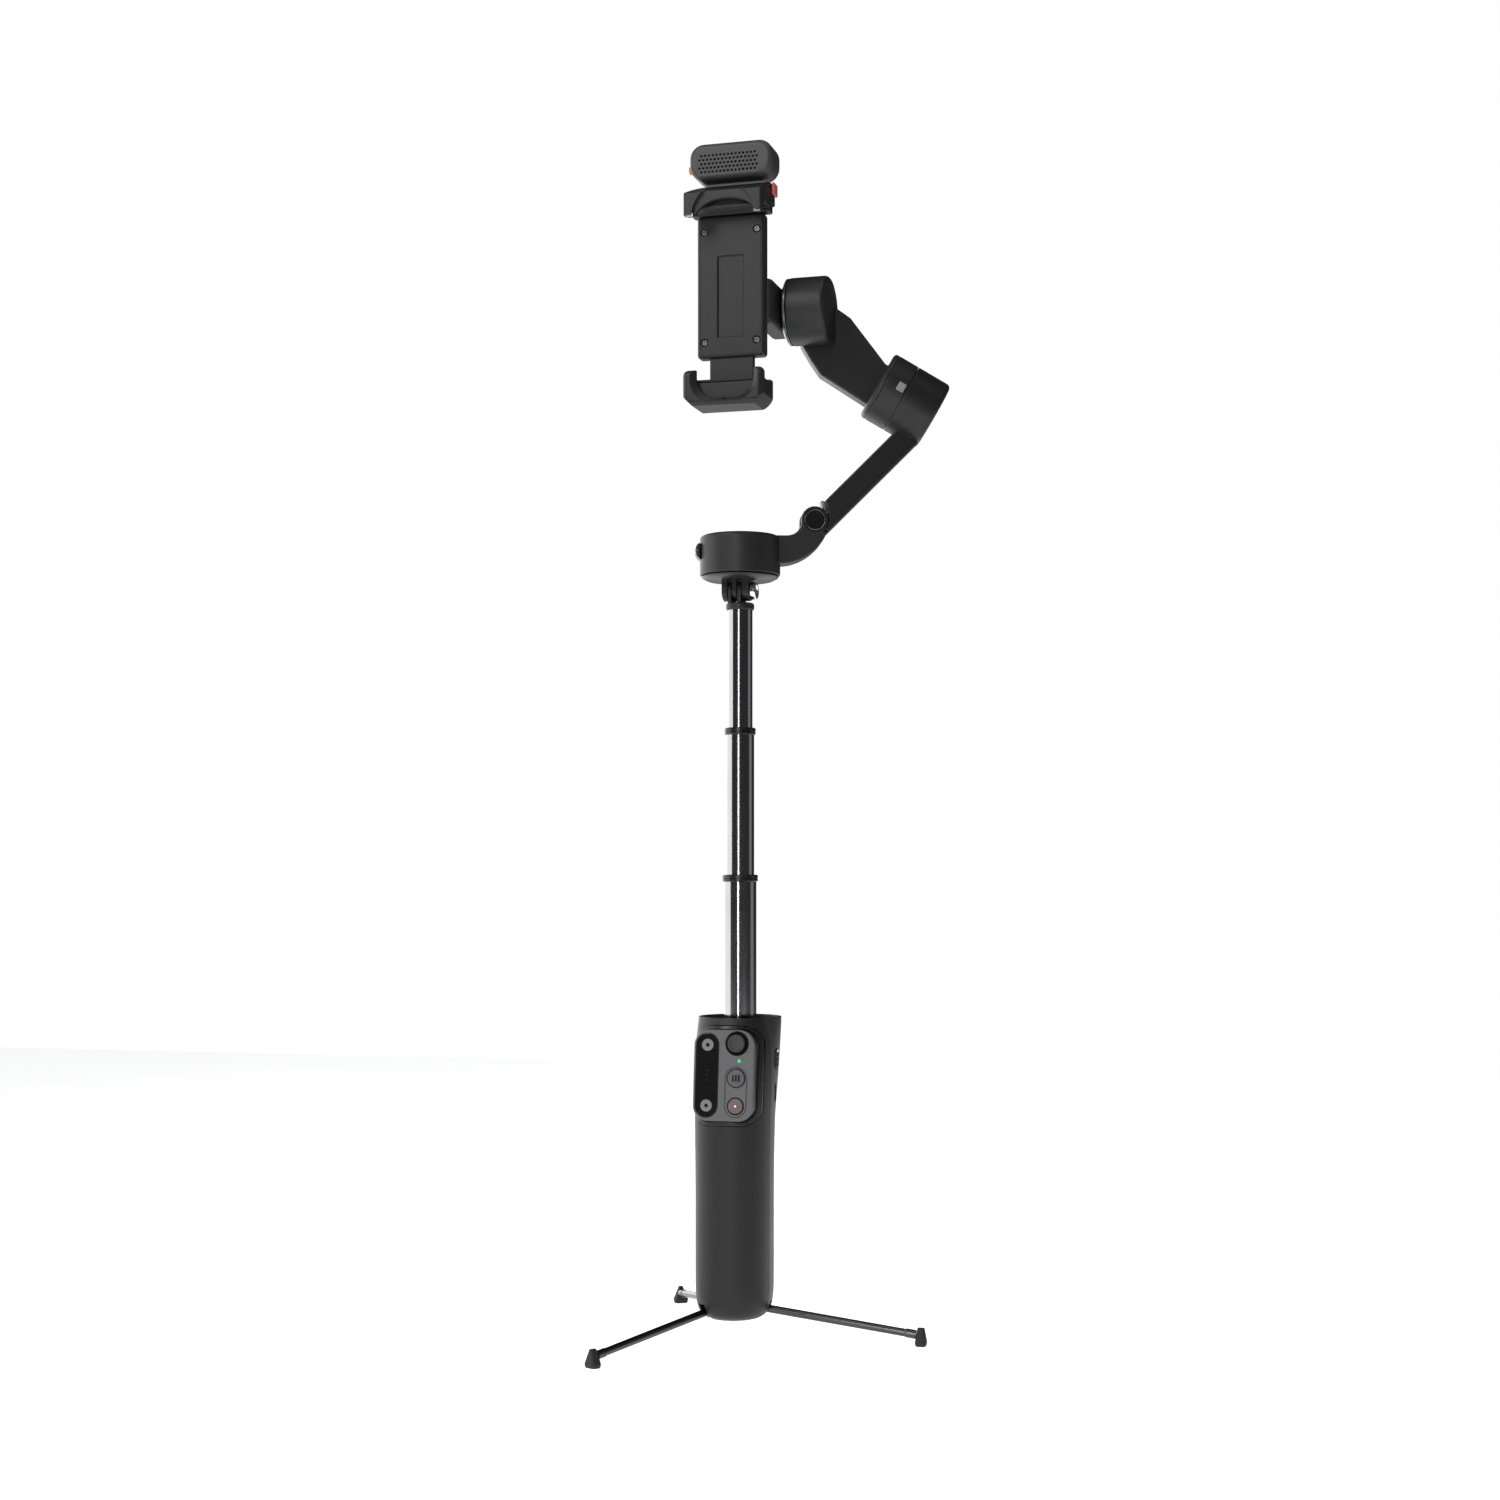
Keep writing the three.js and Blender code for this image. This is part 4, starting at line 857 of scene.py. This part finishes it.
def make_roll():
    drum = spun([(0, -ROLL_INNER), (ROLL_RADIUS - 1.8, -ROLL_INNER), (ROLL_RADIUS - 0.7, -ROLL_INNER + 0.3),
                 (ROLL_RADIUS - 0.15, -ROLL_INNER + 0.9), (ROLL_RADIUS, -ROLL_INNER + 1.8),
                 (ROLL_RADIUS, -10.1), (ROLL_RADIUS - 0.25, -10), (ROLL_RADIUS - 0.25, -9.75),
                 (ROLL_RADIUS, -9.65), (ROLL_RADIUS, -0.3), (ROLL_RADIUS - 0.15, -0.12), (0, -0.12)],
                ALONG_X, 144)
    web = prism([(-10, -11.5), (-37, -10.4), (-44, -7), (-51, -3), (-57, 8), (-50, 20), (-38, 19), (-14, 9),
                 (-10, 9)], -5, 3, front_soft=0.8, back_soft=0.8)
    inverse = ROLL.inverted()
    middle = at(0, TILT_Y, TILT_Z) @ ALONG_X
    tilt_drum = spun([(0, TILT_LEFT), (TILT_RADIUS - 0.4, TILT_LEFT), (TILT_RADIUS, TILT_LEFT + 0.4),
                      (TILT_RADIUS, TILT_RIGHT - 2), (TILT_RADIUS - 0.3, TILT_RIGHT - 1),
                      (TILT_RADIUS - 1, TILT_RIGHT - 0.3), (TILT_RADIUS - 2, TILT_RIGHT), (10.6, TILT_RIGHT),
                      (10.4, TILT_RIGHT - 0.25), (10.1, TILT_RIGHT - 0.25), (9.9, TILT_RIGHT),
                      (0, TILT_RIGHT)], middle, 128)
    bracket = joined(drum, web, moved(tilt_drum, inverse))
    cut(bracket, rod(13.4, -10, 5, ALONG_X), moved(rod(12.7, 10, 39.6, middle), inverse))
    stands_for("roll_bracket", bracket, charcoal, 0.15, matrix=ROLL)
    mark = block((-4.6, -1), (-16.9, -15.2), (-1.6, 2.4), 0.35, 3)
    stands_for("alignment_mark", mark, mark_grey, matrix=ROLL)
    rotor = spun([(0, 21.5), (12.6, 21.5), (13, 21.7), (14.8, 22.9), (14.8, 24), (12.3, 24), (12.3, 37),
                  (10, 37), (10, 25.4), (0, 25.4)], middle, 128)
    stands_for("tilt_rotor", rotor, dark_metal, 0.12)


# ---------------------------------------------------------------- clamp


def span_x(half):
    return (CLAMP_X - half, CLAMP_X + half)


def ribbed_pad(node, y, low, high, ridge_side):
    """A rubber pad whose face is fluted along the phone's edge."""
    pad = block(span_x(15), y, (low, high), 0.25, 3)
    grooves = []
    for k in range(5):
        middle = y[0] + (y[1] - y[0]) * (k + 0.5) / 5
        face = high if ridge_side > 0 else low
        across = at(0, middle, face + 0.12 * ridge_side) @ ALONG_X
        grooves.append(rod(0.32, CLAMP_X - 16, CLAMP_X + 16, across, 16))
    cut(pad, *grooves)
    stands_for(node, pad, rubber_black)


def make_upper_clamp():
    back = joined(
        block(span_x(15.5), (-26, CLAMP_REAR), (427, 490), 1.6),
        block((12, 21.2), (CLAMP_REAR - 3, TILT_Y + 9), (TILT_Z - 10, TILT_Z + 10), 2.4),
    )
    cut(back, block(span_x(10.3), (-24.7, -20.7), (420, 478)),
        block(span_x(6), (-27, -25.2), (436, 472), 0.6),
        *[rod(1.7, -27, -25, at(x, 0, z) @ ALONG_Y, 32) for x in (-9, 15) for z in (434, 483)])
    stands_for("clamp_back", back, charcoal, 0.3)
    for k, (x, z) in enumerate(((-9, 434), (15, 434), (-9, 483), (15, 483))):
        screw = cut(rod(1.45, -25.7, -24.8, ALONG_Y, 32, 0.25),
                    block((-0.9, 0.9), (-27, -25.3), (-0.22, 0.22)),
                    block((-0.22, 0.22), (-27, -25.3), (-0.9, 0.9)))
        finished(f"clamp_screw_{k + 1}", screw, "clamp", dark_metal, matrix=at(x, 0, z))
    height = UPPER_TOP - UPPER_BOTTOM
    jaw = common(
        prism(rounded_outline(2 * CLAMP_HALF, 2 * height, 6), CLAMP_FRONT, CLAMP_REAR - 0.7,
              at(CLAMP_X, 0, UPPER_BOTTOM), front_soft=1.4, back_soft=1.4, segments=5),
        block((-40, 40), (-60, 0), (UPPER_BOTTOM, 520)),
    )
    cut(jaw,
        block((-40, 40), (-20, 40), (0, 20), 0, 5,
              at(0, CLAMP_FRONT, UPPER_FRONT_TOP) @ Matrix.Rotation(UPPER_SLOPE, 4, "X")),
        rod(1, -2, 1.8, at(CLAMP_X, CLAMP_FRONT, UPPER_BOTTOM - 0.4) @ Matrix.Scale(13.8, 4, X_AXIS)
            @ Matrix.Scale(13.5, 4, Z_AXIS) @ ALONG_Y, 96),
        block((-40, 40), (SLOT_FRONT, SLOT_BACK), (480, PHONE_HIGH + 1.35), 0.4, 3),
        block((-40, 40), (SLOT_BACK - 0.1, 0), (480, 490.15)),
        rod(1, -2, 6, at(CLAMP_X + 1, CLAMP_FRONT, UPPER_BOTTOM - 0.4) @ Matrix.Scale(13.4, 4, X_AXIS)
            @ Matrix.Scale(7.2, 4, Z_AXIS) @ ALONG_Y, 96),
    )
    joined(jaw, block((17, 21.25), (-25, -17.4), (494, 503.2), 0.8, 4))
    stands_for("upper_jaw", jaw, charcoal, 0.5, segments=4)
    for k, x in enumerate(((-13.7, -10.2), (17, 20))):
        tip = block(x, (-39, -36.2), (UPPER_BOTTOM - 0.5, UPPER_BOTTOM + 1), 0.45, 4)
        finished(f"hook_tip_{k + 1}", tip, "clamp", hook_metal, slot="bright_metal")
    accent = block((21.3, 22.6), (-24, -18), (498, 503.4), 0.6, 5)
    stands_for("accent_strip", accent, accent_red)
    ribbed_pad("upper_pad", (SLOT_FRONT + 0.6, SLOT_BACK - 0.6), PHONE_HIGH, PHONE_HIGH + 1.2, -1)


def make_lower_jaw():
    left, right = span_x(18.5)
    top, bottom, chamfer = LOWER_TOP, LOWER_BOTTOM, LOWER_CHAMFER
    body = common(
        block((left, right), (CLAMP_FRONT, CLAMP_REAR - 0.7), (bottom, top), 2.6, 7),
        prism([(left, top + 1), (left, bottom + chamfer), (left + chamfer, bottom), (right - chamfer, bottom),
               (right, bottom + chamfer), (right, top + 1)], CLAMP_FRONT - 1, CLAMP_REAR),
    )
    centre = at(CLAMP_X + 0.6, 0, bottom + 18.5)
    cut(body,
        block((-40, 40), (SLOT_FRONT, SLOT_BACK), (PHONE_LOW - 1.35, 430), 0.4, 3),
        block((-40, 40), (SLOT_BACK - 0.1, 0), (PHONE_LOW, 430)),
        prism(rounded_outline(26, 30, 9), CLAMP_FRONT - 2, SLOT_FRONT + 1.5, centre),
        prism(rounded_outline(26, 30, 9), CLAMP_FRONT - 0.4, CLAMP_FRONT + 2.2, centre, front_scale=1.22))
    joined(body, block(span_x(10), (-24.4, -21), (410, 455), 0.4, 3))
    cut(body, *[block(span_x(6.5), (-24.9, -24.15), (431 + 3 * k, 432.2 + 3 * k), 0.2, 2) for k in range(7)])
    stands_for("lower_jaw", body, charcoal, 0.35)
    stud = rod(0.75, CLAMP_FRONT + 1.2, SLOT_FRONT + 0.8,
               at(CLAMP_X + 0.6, 0, bottom + 2.6) @ ALONG_Y, 32, 0.2)
    finished("jaw_stud", stud, "jaw", gloss_black, slot="black_gloss")
    ribbed_pad("lower_pad", (SLOT_FRONT + 2.6, SLOT_BACK - 0.6), PHONE_LOW - 1.2, PHONE_LOW, 1)


# ---------------------------------------------------------------- tracker


def make_tracker():
    front = TRACKER_Y[0]
    split = TRACKER_Y[1] - 4

    width, height = TRACKER_X[1] - TRACKER_X[0], TRACKER_Z[1] - TRACKER_Z[0]
    middle = at(sum(TRACKER_X) / 2, 0, sum(TRACKER_Z) / 2)

    def body(inset, soft):
        return prism(rounded_outline(width - 2 * inset, height - 2 * inset, 6.4 - inset, 14), front + inset,
                     TRACKER_Y[1] - inset, middle, front_soft=soft, back_soft=soft + 0.8, segments=8)

    whole = body(0, 2.4)
    shell = cut(copied(whole), body(1.4, 0.8), block((-60, 60), (split, 20), (490, 540)),
                prism(rounded_outline(PANEL_WIDTH + 0.04, PANEL_HEIGHT + 0.04, 2.02), front - 1, front + 3,
                      at(PANEL_X, 0, PANEL_Z)),
                rod(1.45, TRACKER_X[0] - 3, TRACKER_X[0] + 5, at(0, -22, PANEL_Z) @ ALONG_X, 32))
    stands_for("tracker_shell", shell, tracker_grey)
    cover = common(whole, block((-60, 60), (split + 0.12, 20), (490, 540)))
    cut(cover, block((-9, 17), (-30, -16.6), (509, 517)))
    stands_for("tracker_back", cover, charcoal)
    panel = prism(rounded_outline(PANEL_WIDTH, PANEL_HEIGHT, 2), front, front + 1.2, at(PANEL_X, 0, PANEL_Z))
    holes = []
    for row in range(5):
        count = 15 + row % 2
        for k in range(count):
            x = PANEL_X + (k - (count - 1) / 2) * 1.75
            holes.append(rod(0.56, front - 1, front + 3, at(x, 0, PANEL_Z + (row - 2) * 1.8) @ ALONG_Y, 12))
    pierce = holes[0]
    bm = bmesh.new()
    for hole in holes:
        bm.from_mesh(hole.data)
    bm.to_mesh(pierce.data)
    bm.free()
    for hole in holes[1:]:
        bpy.data.meshes.remove(hole.data)
    cut(panel, pierce)
    stands_for("light_panel", panel, tracker_grey, sharp=30)
    backing = block((PANEL_X - 14, PANEL_X + 14), (front + 1.5, front + 2.1), (PANEL_Z - 5, PANEL_Z + 5),
                    0.2, 2)
    finished("panel_backing", backing, "tracker", gloss_black, slot="black_gloss")
    dial_x = TRACKER_X[0] - 2.1
    dial = spun([(0, 0), (1.2, 0), (1.6, 0.15), (1.7, 0.4), (1.7, 1.8), (1.3, 1.8), (1.3, 4.8), (0, 4.8)],
                at(dial_x, -22, PANEL_Z) @ ALONG_X, 48)
    cut(dial, *[block((0.3, 1.5), (1.5, 2.5), (-0.16, 0.16),
                      matrix=at(dial_x, -22, PANEL_Z) @ Matrix.Rotation(math.radians(30 * k), 4, "X"))
                for k in range(12)])
    stands_for("light_dial", dial, orange_knob)


make_handle()
make_cup()
make_dock()
make_side_controls()
make_tripod()
make_remote()
make_touch_strip()
make_buttons()
make_rods()
make_fork_and_head()
make_pan()
make_fold_cap()
make_upper_arm()
make_roll()
make_upper_clamp()
make_lower_jaw()
make_tracker()

# ---------------------------------------------------------------- finishes on the CAD pieces that stay

STAYING = {
    "rod_sleeve": collar_black,
    "battery_cell": cell_blue,
    "main_board": board_green,
    "leg_pin_1": bright_metal,
    "leg_pin_2": bright_metal,
    "leg_pin_3": bright_metal,
    "joystick_ring": dark_metal,
    "pan_stator": copper,
    "pan_rotor": dark_metal,
    "fold_pin": bright_metal,
    "roll_stator": copper,
    "roll_rotor": dark_metal,
    "tilt_stator": copper,
}
for node, material in STAYING.items():
    kept = frame["nodes"][node]
    kept.data.materials.clear()
    kept.data.materials.append(material)

# ---------------------------------------------------------------- studio, metres

VIEW_TURN = 15.7
FLOOR_HALF, FLOOR_GLOW = 1.4, 0.8
AIM_HEIGHT = 0.27
SOFTBOXES = (
    # name, turn, distance, height, width, tall, watts
    ("key_left", -42, 1.2, 1.2, 0.5, 0.8, 10),
    ("edge_left", -100, 0.9, 0.3, 1, 1.4, 9),
    ("edge_back_left", -150, 1.1, 0.3, 0.8, 1.4, 9),
    ("stripe", -13, 1.4, 0.3, 0.13, 1.6, 7),
    ("fill_right", 95, 1.5, 0.4, 0.8, 1.2, 1),
    ("top", 20, 0.35, 1.5, 0.9, 0.9, 3),
)
SENSOR_MM, LENS_MM, LENS_SHIFT = 36, 53.856, 0.084
CAMERA_DEPTH, CAMERA_SIDE, CAMERA_HEIGHT = 1.018, 0.0045, 0.1975

floor_mesh = bmesh.new()
bmesh.ops.create_grid(floor_mesh, x_segments=1, y_segments=1, size=FLOOR_HALF)
floor_data = bpy.data.meshes.new("studio_floor")
floor_mesh.to_mesh(floor_data)
floor_mesh.free()
floor_data.transform(Matrix.Translation((0, 0, (FLOOR_Z - 0.05) * MM)))
floor = bpy.data.objects.new("studio_floor", floor_data)
bpy.context.scene.collection.objects.link(floor)
pale_floor = moulded("pale_floor", 0.8, 0.9, grain_mm=2, depth_mm=0.01, spread=0.01,
                     Emission_Color=(1, 1, 1, 1), Emission_Strength=FLOOR_GLOW)
floor_data.materials.append(pale_floor)

scene = bpy.context.scene
scene.view_settings.view_transform = "Standard"
world = bpy.data.worlds.new("studio")
scene.world = world
world.use_nodes = True
world.node_tree.nodes.clear()


def backdrop(colour, strength):
    made = world.node_tree.nodes.new("ShaderNodeBackground")
    made.inputs["Color"].default_value = (*colour, 1)
    made.inputs["Strength"].default_value = strength
    return made


def make_world():
    """White where it is seen, dimmer where it is mirrored, so that gloss shows the softboxes."""
    tree = world.node_tree
    path = tree.nodes.new("ShaderNodeLightPath")
    seen = backdrop((1, 1, 1), 1.0)
    fill = backdrop((0.95, 0.97, 1), 0.12)
    mirrored = backdrop((1, 1, 1), 0.05)
    first = tree.nodes.new("ShaderNodeMixShader")
    second = tree.nodes.new("ShaderNodeMixShader")
    output = tree.nodes.new("ShaderNodeOutputWorld")
    tree.links.new(path.outputs["Is Glossy Ray"], first.inputs[0])
    tree.links.new(fill.outputs[0], first.inputs[1])
    tree.links.new(mirrored.outputs[0], first.inputs[2])
    tree.links.new(path.outputs["Is Camera Ray"], second.inputs[0])
    tree.links.new(first.outputs[0], second.inputs[1])
    tree.links.new(seen.outputs[0], second.inputs[2])
    tree.links.new(second.outputs[0], output.inputs[0])


def softbox(name, turn, distance, height, width, tall, power):
    """A softbox turned by degrees from the camera's side of the object, negative to the left."""
    light = bpy.data.lights.new(name, "AREA")
    light.shape, light.size, light.size_y, light.energy = "RECTANGLE", width, tall, power
    holder = bpy.data.objects.new(name, light)
    scene.collection.objects.link(holder)
    angle = math.radians(VIEW_TURN + turn)
    holder.location = (distance * math.sin(angle), -distance * math.cos(angle), height)
    aim = Vector((0, 0, AIM_HEIGHT)) - holder.location
    holder.rotation_euler = aim.to_track_quat("-Z", "Y").to_euler()


make_world()
for row in SOFTBOXES:
    softbox(*row)

camera_data = bpy.data.cameras.new("camera")
camera_data.sensor_width, camera_data.lens, camera_data.shift_y = SENSOR_MM, LENS_MM, LENS_SHIFT
camera = bpy.data.objects.new("camera", camera_data)
scene.collection.objects.link(camera)
turn = math.radians(VIEW_TURN)
camera.location = (
    CAMERA_SIDE * math.cos(turn) + CAMERA_DEPTH * math.sin(turn),
    CAMERA_SIDE * math.sin(turn) - CAMERA_DEPTH * math.cos(turn),
    CAMERA_HEIGHT,
)
camera.rotation_euler = (math.pi / 2, 0, turn)
scene.camera = camera
